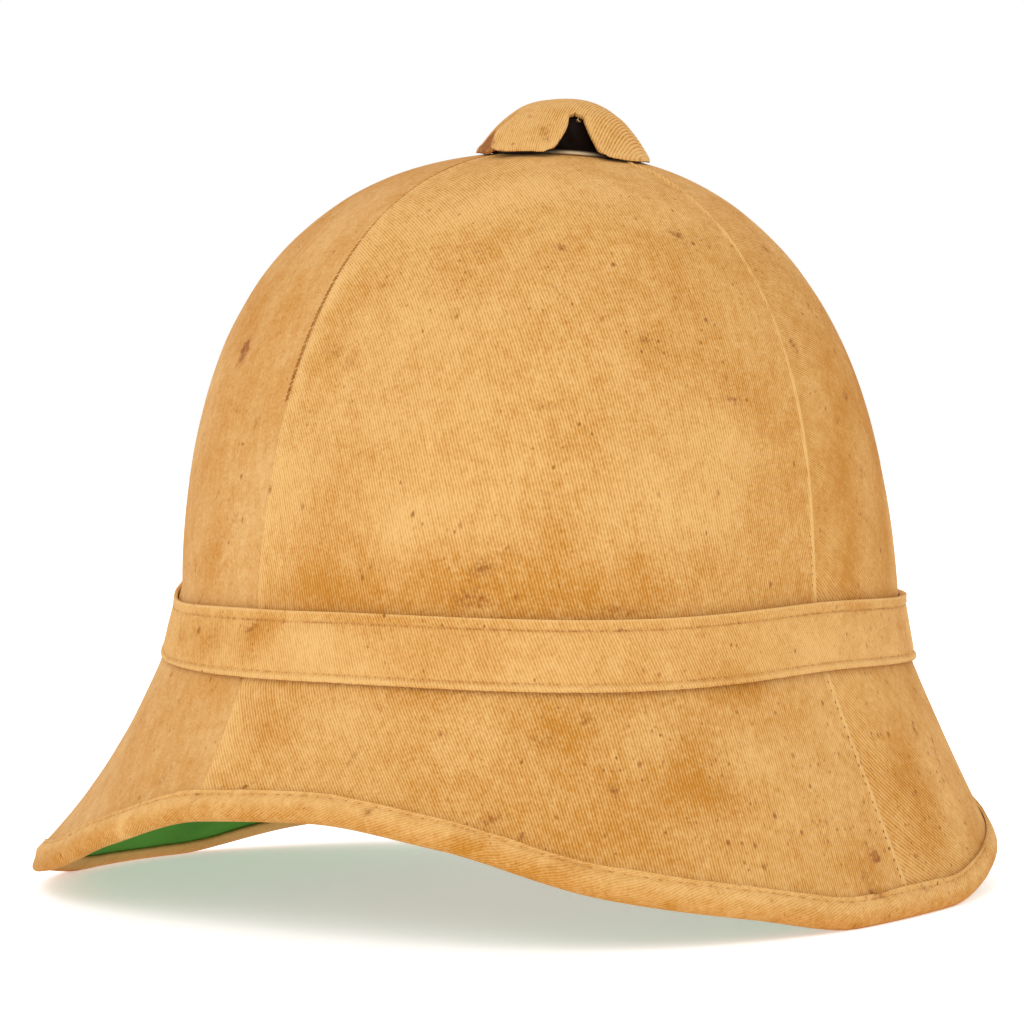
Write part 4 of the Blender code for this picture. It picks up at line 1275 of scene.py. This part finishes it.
# heights of the section's points in mm, up the outside, over the lip and down the side that touches the crown
foot_up = np.array([0.05, 0.3, 0.6, 1.0, 1.4, 1.7, 2.0, 2.2, 2.45, 2.7, 3.0, 3.5])
hem_up = np.array([16.2, 16.6, 16.8, 17.0, 17.2, 17.5, 18.0, 18.6, 19.1, 19.6, 19.9])
outer_up = np.concatenate([foot_up, np.linspace(4.6, 15.4, 8), hem_up]) * MM
lip_up = np.array([20.15, 20.2, 20.1]) * MM
lip_share = np.array([0.85, 0.5, 0.15])    # of the thickness under it
inner_up = np.array([19.4, 10, 0.4]) * MM
outer = band_relief(outer_up)
up = np.concatenate([[0.0], outer_up, lip_up, inner_up, [0.0]])
out = np.concatenate([[outer[0] * 0.7], outer, outer[-1] * lip_share, 0 * inner_up, [0.1 * MM]])
band_angle = all_round(BAND_COLUMNS)
print(f"band: {len(up)} points round its section, {outer.max() / MM:.2f} mm thick at the most")

# %% [markdown]
# The band was drawn tight round the sides and left a little lower and thinner beside the peak, and it isn't
# even: it swells, its hem puckers between the stitches, and where it laps over its end it is thicker.
# Each of these is added to the thickness before the section is carried round the skin. A curve with a bevel
# would be quicker, but its section couldn't change on the way.

# %% the band itself
BAND_DIP = 2.4 * MM               # the band hangs this much lower beside the peak
DIP_ANGLE = math.radians(38)
DIP_WIDTH = math.radians(17)
DIP_NARROWER, DIP_THINNER = 0.06, 0.45    # of its height and of its thickness there
BRIM_SLANT = 90 * MM              # length of brim for a climb of 1, under the band's foot
LAP_RISE = 0.35 * MM
LAP_EDGE = 0.9 * MM               # over which the lap rises
LAP_LENGTH = 30 * MM
SURFACE = 0.2 * MM                # what stands out further than this is the band's outside
HEM_MIDDLE = 18.3 * MM            # heights over the foot: where the hem puckers,
HEM_RUST = 18.2 * MM              # where damp has stained it,
LIP = 19.9 * MM                   # and where the cloth is rubbed
ROLL_CREST = 1.1 * MM


def climb_from_foot(height):
    """Climb at a height over the band's foot; under the foot it runs on down the brim."""
    return np.where(height > 0, 1 + np.minimum(height / BAND_HEIGHT, 0.9999), 1 + height / BRIM_SLANT)


turned_away = np.minimum(band_angle, 2 * np.pi - band_angle)
beside_peak = bell(turned_away - DIP_ANGLE, DIP_WIDTH)
band_dip = BAND_DIP * beside_peak
narrower = 1 - DIP_NARROWER * beside_peak
over_foot = up[:, None]
band_climb = climb_from_foot(over_foot * narrower - band_dip)
band_base = skin(band_angle[None], band_climb)
past_lap = (band_angle - LAP_ANGLE) * CROWN_SIDE
lap = ease(past_lap / LAP_EDGE + 0.5) * ease(1 - past_lap / LAP_LENGTH)
uneven = 0.16 * MM * soft_noise(band_base, 20 * MM, 14) + 0.10 * MM * soft_noise(band_base, 6 * MM, 15)
outside = out[:, None] > SURFACE
puckers = 0.10 * MM * soft_noise(band_base, 2.4 * MM, 16) * bell(over_foot - HEM_MIDDLE, 1.6 * MM)
lean_in = 1 - DIP_THINNER * beside_peak
thickness = out[:, None] * lean_in + outside * (uneven + puckers + LAP_RISE * lap)
band_points = lifted(band_angle, band_climb, GAP + np.maximum(thickness, 0))
band_marks = stains_on(band_base)
band_marks["soil"] += (0.5 * bell(over_foot - FOOT_STITCH, 0.35 * MM)
                       + 0.5 * bell(over_foot - HEM_STITCH, 0.4 * MM))
band_marks["soil"] *= ease(0.9 + 0.8 * soft_noise(band_base, 9 * MM, 17))
# painted shade: the band's lowest edge, where it meets the brim, is darkened
band_marks["soil"] += 0.9 * (over_foot < SURFACE) * outside
rusty = ease(soft_noise(band_base, 15 * MM, 18) + 0.3)
band_marks["rust_and_shade"] += 0.35 * bell(over_foot - HEM_RUST, 1.0 * MM) * rusty
band_worn = 0.8 * bell(over_foot - LIP, 0.45 * MM) + 0.5 * bell(over_foot - ROLL_CREST, 0.6 * MM)
band_worn = band_worn + 0.35 * ease(soft_noise(band_base, 26 * MM, 19))

band_points = closed_loop(band_points)
band_masks = {mask: closed_loop(np.broadcast_to(value, thickness.shape))
              for mask, value in {**band_marks, "worn": band_worn}.items()}
band_weave = closed_weave(band_points, BAND_GRAIN)
band = grid_object("hat_band_cloth", band_points, band_weave, closed=True, **band_masks)
dress(band, BAND_TWILL, "tan_twill", "hat_band")

# %% [markdown]
# Two rows of tan stitches hold the band's hem and its rolled foot. They lie in the grooves of the section, so
# their path is read from the band's own thickness there, and each stitch is turned a few degrees from it.

# %% the band's thread
SLIP = 0.18                       # of a pitch: how far a stitch is from its even place
LOOK_AHEAD = 1 * MM
BAND_THREAD = (0.28 * MM, 0.06 * MM)    # thickness, rise


def along_ring(path, pitch, seed):
    """Points at a pitch round a closed path of points, with the way along it, and where in the path."""
    path = closed_loop(path)
    run = run_along(path, 0)
    count = int(run[-1] / pitch)
    at = (np.arange(count) + np.random.default_rng(seed).uniform(-SLIP, SLIP, count)) * run[-1] / count
    at %= run[-1]
    further = (at + LOOK_AHEAD) % run[-1]
    middle = np.stack([np.interp(at, run, path[:, axis]) for axis in range(3)], axis=-1)
    ahead = np.stack([np.interp(further, run, path[:, axis]) for axis in range(3)], axis=-1)
    return middle, ahead - middle, np.interp(at, run, np.arange(len(path)))


def band_stitches(name, height, pitch, length, slant, seed):
    """A row of stitches in the band's groove at a height, each turned from the row by a slant."""
    climb = climb_from_foot(height * narrower - band_dip)
    row = np.abs(up - height).argmin()
    path = lifted(band_angle, climb, GAP + thickness[row])
    middle, way, place = along_ring(path, pitch, seed)
    normal = outward(place * 2 * np.pi / BAND_COLUMNS, np.interp(place, np.arange(BAND_COLUMNS), climb))
    way = unit(way)
    way = way * math.cos(slant) + np.cross(normal, way) * math.sin(slant)
    lengths = length * np.random.default_rng(seed).uniform(0.5, 1.2, len(middle))
    stitch_row(name, middle, way, normal, lengths, *BAND_THREAD, TAN_THREAD, "tan_twill")


STITCH_PITCH = 3.8 * MM
band_stitches("band_hem_stitches", HEM_STITCH, STITCH_PITCH, 1.25 * MM, math.radians(-25), 31)
band_stitches("band_foot_stitches", FOOT_STITCH, STITCH_PITCH, 0.9 * MM, math.radians(-15), 32)

# %% [markdown]
# ## The edge binding
#
# A strip of twill cut on the slant is folded round the rim and sewn through everything. Its section is a
# loop: up the outside, round the fold, up the inside, and back. Between the stitches the cloth puffs up a
# little, and each stitch pulls it down. On the table the soft fold is pressed flat where it carries the
# weight.

# %% the binding's section
BINDING_INNER_LEG = 11.5 * MM     # how far up from the rim the inside reaches
BINDING_COLUMNS = 1200
BINDING_GRAIN = math.radians(-62)
BINDING_STITCH = 8.8 * MM         # up from the rim
STITCH_SPACING = 5.0 * MM
FOLD_STEPS = 13
INNER_STEPS = 6                   # the last step of the fold is the first of them


def press_flat(points):
    """Points under the table are moved up to it, square to the table."""
    square = np.array([0, -math.sin(LEAN), math.cos(LEAN)])
    height = points @ square + TABLE_DROP * math.cos(LEAN) - PRESS
    return points + np.maximum(-height, 0)[..., None] * square


def binding_face(face, outer):
    """Distances from the rim and lifts of one face of the strip, from its outer edge to its inner one."""
    inner_face = -(CLOTH + PITH + LINING + 3 * GAP)
    radius = (GAP - inner_face) / 2 + face
    turn = np.linspace(0, np.pi, FOLD_STEPS)
    inner = np.linspace(BINDING_CENTRE, BINDING_INNER_LEG, INNER_STEPS)[1:]
    distance = np.concatenate([outer, BINDING_CENTRE - radius * np.sin(turn), inner])
    lift = np.concatenate([outer * 0 + GAP + face, (inner_face + GAP) / 2 + radius * np.cos(turn),
                           inner * 0 + inner_face - face])
    return distance, lift


outer_steps = np.array([9.9, 9.75, 9.5, 9.25, 9.05, 8.8, 8.55, 8.3, 7.8, 7.0, 6.2]) * MM
face_distance, face_lift = binding_face(BINDING, outer_steps)
back_distance, back_lift = binding_face(0.0, np.array([9.8, 7.6]) * MM)
distance = np.concatenate([face_distance, back_distance[::-1]])
lift = np.concatenate([face_lift, back_lift[::-1]])
print(len(distance), "points round the binding's section")

# %% [markdown]
# The section is carried round the rim. Its upper edge wanders, as a hand folded it; the stitches' pull is a
# wave along the rim, one crest for each stitch. At the brim's left end the fold looks squeezed: it is
# thinner there and drawn out to a blunt point, which a bell along the rim brings in and lets fade.

# %% the binding itself
EDGE_WANDERS = 9.0 * MM           # from this far up the section follows the wandering edge
FACE_ENDS = -2 * MM               # lifts under this are on the inside of the fold
TIP_WIDTH = math.radians(13)      # of the squeezed stretch at the brim's left end
TIP_PINCH = 0.30                  # share of the fold's thickness lost there
TIP_THINNING = 0.65               # share of the outside's lift lost higher up
TIP_REACH = 3.0 * MM              # how far the fold is drawn out
RIM_STEP = 5 * MM                 # over which the brim's slope at the rim is measured
binding_angle = all_round(BINDING_COLUMNS)
rim_base = skin(binding_angle, climb_from_rim(binding_angle, BINDING_STITCH))
rim_run = run_along(closed_loop(rim_base), 0)[:-1]
rim_length = rim_run[-1] * (1 + 1 / (BINDING_COLUMNS - 1))
stitch_count = round(rim_length / STITCH_SPACING)
pull = 0.5 + 0.5 * np.cos(2 * np.pi * stitch_count * rim_run / rim_length)
edge_sway = 0.9 * MM * soft_noise(rim_base, 24 * MM, 24) + 0.25 * MM * soft_noise(rim_base, 6 * MM, 25)
from_rim = distance[:, None]
reach = from_rim + edge_sway * ease((from_rim - EDGE_WANDERS) / (0.9 * MM))
binding_base = skin(binding_angle, climb_from_rim(binding_angle, BINDING_CENTRE))
upper = (np.arange(len(distance)) < len(outer_steps))[:, None]
outer_half = (np.arange(len(distance)) < len(face_distance) - INNER_STEPS)[:, None]
from_stitch = from_rim - BINDING_STITCH
puff = 0.30 * MM * ease(-from_stitch / (1.6 * MM)) * ease((from_rim + 2 * MM) / (7 * MM))
puff = puff * (1 + 0.5 * soft_noise(rim_base, 13 * MM, 26)) + 0.10 * MM * ease(from_stitch / (0.5 * MM))
groove = (0.24 * MM + 0.16 * MM * pull) * bell(from_stitch, 0.45 * MM)
creases = 0.10 * MM * soft_noise(binding_base * (1, 1, 0.4), 4 * MM, 27)
swell = np.where(outer_half, puff - groove * upper + creases, 0) * (lift[:, None] > FACE_ENDS)
tip = seen_at_pixel(at_rest(rim_base))[:, 0].argmin()
print(f"the brim's left end in the photograph is at {math.degrees(binding_angle[tip]):.0f} degrees")
at_tip = bell(binding_angle - binding_angle[tip], TIP_WIDTH)
pinch = TIP_PINCH * at_tip * ease((7.5 * MM - from_rim) / (5 * MM))
pinched_lift = lift.min() + (lift[:, None] - lift.min() + swell) * (1 - pinch)
thinned = 1 - TIP_THINNING * at_tip * ease((from_rim - 4 * MM) / (3 * MM))
pinched_lift = np.where(pinched_lift > 0, pinched_lift * thinned, pinched_lift)
climb = np.stack([climb_from_rim(binding_angle, row) for row in reach])
rim_line = skin(binding_angle, 0 * binding_angle)
down_brim = unit(rim_line - skin(binding_angle, climb_from_rim(binding_angle, RIM_STEP)))
drawn_out = TIP_REACH * at_tip * ease((4.5 * MM - from_rim) / (4 * MM))
binding_points = lifted(binding_angle, climb, pinched_lift) + drawn_out[..., None] * down_brim
binding_points = closed_loop(press_flat(binding_points)[::-1])
print(f"binding: {stitch_count} stitches along {rim_length / MM:.0f} mm of rim")

binding_marks = stains_on(skin(binding_angle[None], climb))
binding_marks["soil"] += (0.42 * upper * bell(from_stitch, 0.3 * MM)
                          * ease(0.9 + soft_noise(rim_base, 12 * MM, 28)))
# painted shade: the binding's lower half, which faces down, is darkened through the rust mask
low_half = ease((5.2 * MM - from_rim) / (4 * MM))
binding_marks["rust_and_shade"] += low_half * (0.55 + 0.25 * soft_noise(binding_base, 22 * MM, 29))
# painted light: the upper outside and the inner leg are made paler
binding_worn = np.where(outer_half, 0.5 * ease((from_rim - 4 * MM) / (2.5 * MM)), 0.9)
binding_masks = {mask: closed_loop(np.broadcast_to(value, climb.shape)[::-1])
                 for mask, value in {**binding_marks, "worn": binding_worn}.items()}
binding = grid_object("edge_binding_cloth", binding_points, closed_weave(binding_points, BINDING_GRAIN),
                      closed=True, **binding_masks)
dress(binding, BINDING_TWILL, "tan_twill", "edge_binding")

# %% [markdown]
# One row of stitches runs round the binding, in the groove that they pull. Their lengths vary more than
# those of the band, for here the needle went through cloth, pith and lining at once.

# %% the binding's thread
BINDING_THREAD = (0.32 * MM, 0.08 * MM)    # thickness, rise
stitch_climb = climb_from_rim(binding_angle, BINDING_STITCH)
stitch_at = np.abs(outer_steps - BINDING_STITCH).argmin()
stitch_path = lifted(binding_angle, stitch_climb, pinched_lift[stitch_at])
middle, way, place = along_ring(stitch_path, STITCH_SPACING, 33)
turned = place * 2 * np.pi / BINDING_COLUMNS
normal = outward(turned, np.interp(turned, binding_angle, stitch_climb))
dash = np.random.default_rng(34).uniform(0.5, 1.7, len(middle)) * MM
stitch_row("binding_stitches", middle, way, normal, dash, *BINDING_THREAD, TAN_THREAD, "tan_twill")

# %% [markdown]
# ## The vent
#
# Warm air leaves through a hole at the top, which a short collar of painted tin keeps round. Over it stands
# a cap of stiffened twill, cut into five petals that are folded down onto the crown. The collar is a
# section turned round the crown's axis; its flange follows the crown.

# %% the collar
# one row for each corner of the section: radius and height over the crown, in mm
COLLAR_SECTION = (
    (23.0, 0.6), (22.8, 1.1), (19, 1.2), (16.2, 1.2), (15.4, 1.6), (15.1, 3.0), (15.05, 10.3), (14.9, 10.7),
    (14.2, 10.7), (14.0, 10.3), (14.0, 1.2), (14.2, 0.4), (16, 0.3), (22.8, 0.3),
)
NECK_RADIUS = 15.05 * MM
NECK_TOP = 10.7 * MM
OPEN_SIDE = math.radians(137)     # only here, between two petals, can the collar be seen
OPEN_WIDTH = math.radians(17)
SHADE_EDGE = 22.6 * MM             # from here in, the painted shade grows
SHADE_FADE = 3.5 * MM
collar_angle = all_round(96)
collar_radius, collar_lift = np.array(COLLAR_SECTION).T[..., None] * MM
collar_points = closed_loop(over_crown(collar_angle, collar_radius, collar_lift))[::-1]
# painted shade: the collar is painted black up its neck, and all over where a petal covers it
covered = 0.95 - bell(collar_angle - OPEN_SIDE, OPEN_WIDTH)
collar_shade = np.maximum(ease((SHADE_EDGE - collar_radius) / SHADE_FADE), covered)
collar = grid_object("vent_collar_ring", collar_points, closed_weave(collar_points, 0), closed=True,
                     soil=closed_loop(collar_shade)[::-1])
dress(collar, PALE_TIN, "pale_tin", "vent_collar")

# %% [markdown]
# The cap is a low dome. Five slits, each wider at its foot than at its top, leave five petals. Every petal
# is a grid of its own: across, from slit to slit, and down, from the top to its foot, with a soft hem at
# its edge and rounded corners. Over the slits neighbouring grids share their edges, and Weld joins them.

# %% the cap's petals
CAP_RADIUS = 27.4 * MM
CAP_HEIGHT = 16.5 * MM            # over the top of the crown
CAP_WALL = 1.6 * MM
CAP_CLEARANCE = 0.6 * MM
CAP_PROFILE = (2.4, 1.1)
# degrees round from the front; in mm, half the slit's width at its top, and how much further its two sides
# lie at the foot: the side before it and the side after it
SLITS = ((67, 0.5, -3.0, 4.4), (140, 2.2, 7.6, 4.6), (216, 0.5, 0.6, 0.6), (284, 0.8, 2.4, 2.4),
         (356, 0.8, 2.0, 2.0))
SLIT_HEIGHT = 12.9 * MM           # of a slit's top over the cap's foot
SLIT_TOP = 2.2 * MM               # least radius that a slit's width is measured at
SLIT_SHOULDER = 0.6 * MM
SLIT_OPENING = 1.1 * MM           # height over which it opens
SLIT_BELL = 1.6                   # power by which it widens downward
PETAL_COLUMNS = 31
CAP_RIBS = math.radians(108)
PLAIN_FOOT = CAP_RADIUS - CAP_WALL
CORNER = 2.8 * MM                 # radius of a petal's rounded corners
PETAL_HEM = 1.3 * MM              # from a petal's edge to the middle of its hem

spread = np.sin(np.linspace(-1, 1, PETAL_COLUMNS) * np.pi / 2 * 0.9)
spread /= spread[-1]
down_rows = np.concatenate([np.linspace(0, 0.56, 10), np.linspace(0.58, 0.68, 9), np.linspace(0.71, 0.93, 9),
                            np.sin(np.linspace(0.78, 1, 12) * np.pi / 2)])


def cap_height(t, foot):
    """Height of the dome at a share t of its radius: foot + (top - foot) (1 - t**p)**(1 / q)."""
    return foot + (CROWN_HEIGHT + CAP_HEIGHT - foot) * profile(t, CAP_PROFILE)


def petal_grid(start, end):
    """One petal from the slit at its start to the slit at its end: points, and how near its hem each is."""
    first, last = math.radians(start[0]), math.radians(end[0] + 360 * (end[0] < start[0]))
    t = down_rows[:, None]
    angle = first + (last - first) * (spread + 1) / 2
    foot = over_crown(angle, PLAIN_FOOT, CAP_CLEARANCE)[..., 2]
    above = cap_height(t, foot) - foot
    down = np.clip(1 - above / SLIT_HEIGHT, 0, 1)
    opened = ease((SLIT_HEIGHT + SLIT_SHOULDER - above) / SLIT_OPENING)
    corner = 0.75 * CORNER * np.clip(1 - above / CORNER, 0, 1) ** 2
    half = [opened * ((top + widen * down ** SLIT_BELL) * MM + corner) / np.maximum(t * CAP_RADIUS, SLIT_TOP)
            for top, widen in ((start[1], start[3]), (end[1], end[2]))]
    half = np.where(spread < 0, half[0], half[1])
    middle = (first + last) / 2
    angle = middle + spread * ((last - first) / 2 - half)
    side = (1 - np.abs(spread)) * ((last - first) / 2 - half) * t * CAP_RADIUS
    z = cap_height(t, foot)
    hem = bell(side - PETAL_HEM, 0.9 * MM) * opened + bell(above - 1.5 * MM, 1.1 * MM)
    edge = ease(1 - side / (7 * MM)) * opened * ease(down / 0.5) * np.where(spread < 0, -1, 1)
    return t, angle, z, np.clip(hem, 0, 1), edge


# %% [markdown]
# By now no two petals lie alike: one stands off the crown, two edges curl, and one edge has slid
# under its neighbour. These are set petal by petal. The stains are placed by where the camera sees each
# point of a petal, as on the crown, and painted shade darkens the petals' feet and the tucked strip.
# The wall comes from Solidify, so that every petal stays one sheet.

# %% the cap itself
CURL = {(356, 67): (0, -0.6), (67, 140): (1.5, 0.5)}     # mm that a petal's two edges stand out of the dome
RAISED = {(67, 140): 0.9}         # mm that a petal's foot stands off the crown
TUCKED_UNDER = (356, 67)          # this petal lies under its neighbour's edge, in shade
TUCK_IN, TUCK_DOWN = 1.3 * MM, 0.5 * MM    # how far its edge goes in and down there
HEM_RISE = 0.45 * MM
WALL_SHARE = 0.2 + 0.8 * ease((1 - down_rows) / 0.05)    # the wall thins to a fold at the petals' feet
# marks on the petals, by where the photograph shows them: kind, pixels across and down, half sizes, strength
CAP_STAINS = (
    ("soil", 531, 116, 5, 3, 0.5), ("rust_and_shade", 561, 112, 12, 5, 0.6), ("soil", 543, 131, 7, 6, 0.55),
    ("soil", 547, 139, 5, 4, 0.7), ("rust_and_shade", 540, 130, 14, 12, 0.35), ("soil", 580, 118, 7, 3, 0.6),
    # the second oval in this row darkens the strip tucked under its neighbour: painted shade
    ("rust_and_shade", 612, 135, 22, 20, 0.5), ("soil", 487, 140, 9, 16, 0.85), ("rust_and_shade", 520, 148, 20, 4, 0.2),
)
petals = []
for start, end in zip(SLITS[-1:] + SLITS[:-1], SLITS):
    t, angle, z, hem, edge = petal_grid(start, end)
    between_slits = (start[0], end[0])
    curl = CURL.get(between_slits, (0, 0))
    stand_out = np.where(edge < 0, curl[0], curl[1]) * MM * np.abs(edge)
    flat_place = np.stack([np.sin(angle) * t, np.cos(angle) * t, z * 0], axis=-1)
    wave = 0.25 * MM * soft_noise(flat_place, 0.25, 35)
    z = z + 0.45 * MM * soft_noise(flat_place, 0.5, 36) * ease((1 - t) / 0.15)
    tucked = (between_slits == TUCKED_UNDER) * ease((spread + 0.3) / 0.7) * ease((t - 0.5) / 0.15)
    stand_out = stand_out - TUCK_IN * tucked
    z = z - TUCK_DOWN * tucked * ease((1 - t) / 0.1)
    z = z + RAISED.get(between_slits, 0) * MM * ease((t - 0.7) / 0.3)
    radius = CAP_RADIUS * t + (stand_out + wave * ease(t / 0.3) + HEM_RISE * hem) * ease(t / 0.5)
    plan = np.stack([radius * np.sin(angle), -radius * np.cos(angle)], axis=-1)
    points = np.concatenate([plan + (0, CROWN_APEX_SHIFT), z[..., None]], axis=-1)
    lines = np.stack([plan @ (math.cos(CAP_RIBS), math.sin(CAP_RIBS)),
                      plan @ (math.sin(CAP_RIBS), -math.cos(CAP_RIBS))], axis=-1)
    marks = {mask: np.zeros(z.shape) for mask in MARK_KINDS}
    shown = seen_at_pixel(at_rest(points))
    near_side = np.cos(angle - CAMERA_TURN) > 0
    for kind, across, below, half_across, half_down, strength in CAP_STAINS:
        away = np.hypot((shown[..., 0] - across) / half_across, (shown[..., 1] - below) / half_down)
        marks[kind] += strength * bell(away, 1) * near_side
    # painted shade: a dark line along each petal's foot, and the tucked strip darkened
    marks["soil"] += 0.5 * bell(z - z[-1], 0.5 * MM) + 0.45 * tucked
    # paler along the hems from wear, and darker on the tucked strip as painted shade
    cap_worn = (0.45 * hem - 0.6 * tucked)[::-1]
    petal = grid_object(f"petal_{end[0]}", points[::-1], lines[::-1], worn=cap_worn,
                        **{mask: value[::-1] for mask, value in marks.items()})
    wall_share = petal.vertex_groups.new(name="wall share")
    for row, share in enumerate(WALL_SHARE[::-1].tolist()):
        wall_share.add(range(row * PETAL_COLUMNS, (row + 1) * PETAL_COLUMNS), share, "REPLACE")
    petals.append(petal)
print("petals between the slits at", ", ".join(str(slit[0]) for slit in SLITS), "degrees")

# %% [markdown]
# The petals become one mesh: shared edges are welded, the wall goes inward, and its corners are rounded.
# What faces inward gets a near-black brown finish of its own, painted shade, by Solidify's material offset.

# %% one cap from five petals
bpy.ops.object.select_all(action="DESELECT")
for petal in petals:
    petal.select_set(True)
bpy.context.view_layer.objects.active = petals[0]
bpy.ops.object.join()
cap = petals[0]
cap.name = "vent_cap_cloth"
cap.data.name = "vent_cap_cloth"
weld = cap.modifiers.new("weld", "WELD")
weld.merge_threshold = 0.02 * MM
thicken(cap, CAP_WALL)
cap.modifiers["wall"].material_offset = 1
cap.modifiers["wall"].use_even_offset = False
cap.modifiers["wall"].vertex_group = "wall share"
rounding = cap.modifiers.new("rounding", "SUBSURF")
rounding.levels = 1
rounding.render_levels = 1
dress(cap, CAP_TWILL, "tan_twill", "vent_cap")
# painted shade: the inside of the cap is a near-black brown
DARK_INSIDE, tree, shader = new_finish("painted_shade_inside", 0.95)
inside_shade = noise(tree, object_place(tree), 3 * MM, 3.0)
link(tree, mix(tree, inside_shade, (0.035, 0.014, 0.005, 1), (0.085, 0.036, 0.012, 1)), shader["Base Color"])
cap.data.materials.append(DARK_INSIDE)
neck_top = over_crown(collar_angle, NECK_RADIUS, NECK_TOP)[..., 2]
cap_foot = over_crown(collar_angle, PLAIN_FOOT, CAP_CLEARANCE)[..., 2]
under_cap = cap_height(np.array(NECK_RADIUS / CAP_RADIUS), cap_foot)
print(f"room over the neck: {(under_cap - CAP_WALL - neck_top).min() / MM:.2f} mm")

# %% [markdown]
# The slits were cut and never hemmed at their tops, so a few threads stick out of the weave at the one that
# faces the camera. They are the same short threads as the stitches, strewn at random from a seed.

# %% frayed threads
FRAY_COUNT = 6
FRAY_SLIT = SLITS[1]              # the slit whose top the camera sees
FRAY_PLACE = 0.66                 # of the cap's radius, where that slit's top is
FRAY_SPREAD = 0.62 * CAP_RADIUS   # radius at which the slit's width is turned into an angle
FRAY_DEPTH = 0.2 * MM             # of the threads' middles under the cap's face
FRAY_THREAD = (0.16 * MM, 0.25 * MM)    # thickness, rise
ASKEW = (0.3, 0.2, 0.9)           # any direction that no thread runs in

draw = np.random.default_rng(41)
slit, half_top = math.radians(FRAY_SLIT[0]), FRAY_SLIT[1]
foot = over_crown(np.array(slit), PLAIN_FOOT, CAP_CLEARANCE)[2]
share = FRAY_PLACE + draw.uniform(-0.03, 0.05, FRAY_COUNT)
turn = slit + draw.uniform(-1, 1, FRAY_COUNT) * half_top * MM / FRAY_SPREAD
radius = CAP_RADIUS * share
middles = np.stack([radius * np.sin(turn), CROWN_APEX_SHIFT - radius * np.cos(turn),
                    cap_height(share, foot) - FRAY_DEPTH], axis=-1)
outside = np.stack([np.sin(turn), -np.cos(turn), np.full(FRAY_COUNT, -0.6)], axis=-1)
ways = unit(outside + draw.uniform(-0.8, 0.8, (FRAY_COUNT, 3)))
normals = unit(np.cross(ways, ASKEW))
lengths = draw.uniform(0.8, 2.2, FRAY_COUNT) * MM
for kind, material, first in (("brown", BROWN_THREAD, 0), ("pale", PALE_THREAD, 1)):
    picked = slice(first, None, 2)
    stitch_row(f"frayed_{kind}", middles[picked], ways[picked], normals[picked], lengths[picked],
               *FRAY_THREAD, material, "tan_twill")

# %% [markdown]
# ## Floor and light
#
# The helmet was photographed on white, under a wide soft light that comes mostly from the left and above.
# A white floor without an edge, an even white surround and one large lamp give the same: the shadows on
# the cloth are so soft that its relief shows only as a faint lighter and darker side. The floor glows a
# little, as a light table does, which keeps its shadow pale and lights the lining from below.

# %% the studio
WHITE = (1, 1, 1, 1)
FLOOR_REACH = 20                  # metres from the helmet to the floor's edge
FLOOR_GLOW = 0.40
SURROUND = 1.0
KEY_TURN = math.radians(106)      # of the lamp round from the wearer's front
KEY_RISE = math.radians(40)
KEY_DISTANCE = 2.0                # metres
KEY_SIZE = 1.2                    # metres
KEY_POWER = 10                    # watts

floor_mesh = bpy.data.meshes.new("floor")
floor_corners = [(-1, -1), (1, -1), (1, 1), (-1, 1)]
floor_mesh.from_pydata([(FLOOR_REACH * x, FLOOR_REACH * y, 0) for x, y in floor_corners], [], [(0, 1, 2, 3)])
floor = bpy.data.objects.new("floor", floor_mesh)
PALE_FLOOR, tree, shader = new_finish("pale_floor", 0.9)
shader["Base Color"].default_value = WHITE
shader["Emission Color"].default_value = WHITE
shader["Emission Strength"].default_value = FLOOR_GLOW
floor.data.materials.append(PALE_FLOOR)
bpy.context.scene.collection.objects.link(floor)

world = bpy.data.worlds.new("studio")
world.use_nodes = True
surround = world.node_tree.nodes["Background"].inputs
surround["Color"].default_value = WHITE
surround["Strength"].default_value = SURROUND
bpy.context.scene.world = world
bpy.context.scene.view_settings.view_transform = "Standard"


def area_light(name, turn, rise, distance, size, power):
    """A square soft light that looks at the crown from a turn round the front and a rise."""
    data = bpy.data.lights.new(name, "AREA")
    data.size = size
    data.energy = power
    way, side = ways_from(turn, rise)
    place = np.array([0, 0, AIM_HEIGHT]) + way * distance
    put_in_place(bpy.data.objects.new(name, data), side, np.cross(way, side), way, place)
    print(f"{name}: {power} W from {math.degrees(turn):.0f} degrees round, {math.degrees(rise):.0f} up")


area_light("key", KEY_TURN, KEY_RISE, KEY_DISTANCE, KEY_SIZE, KEY_POWER)
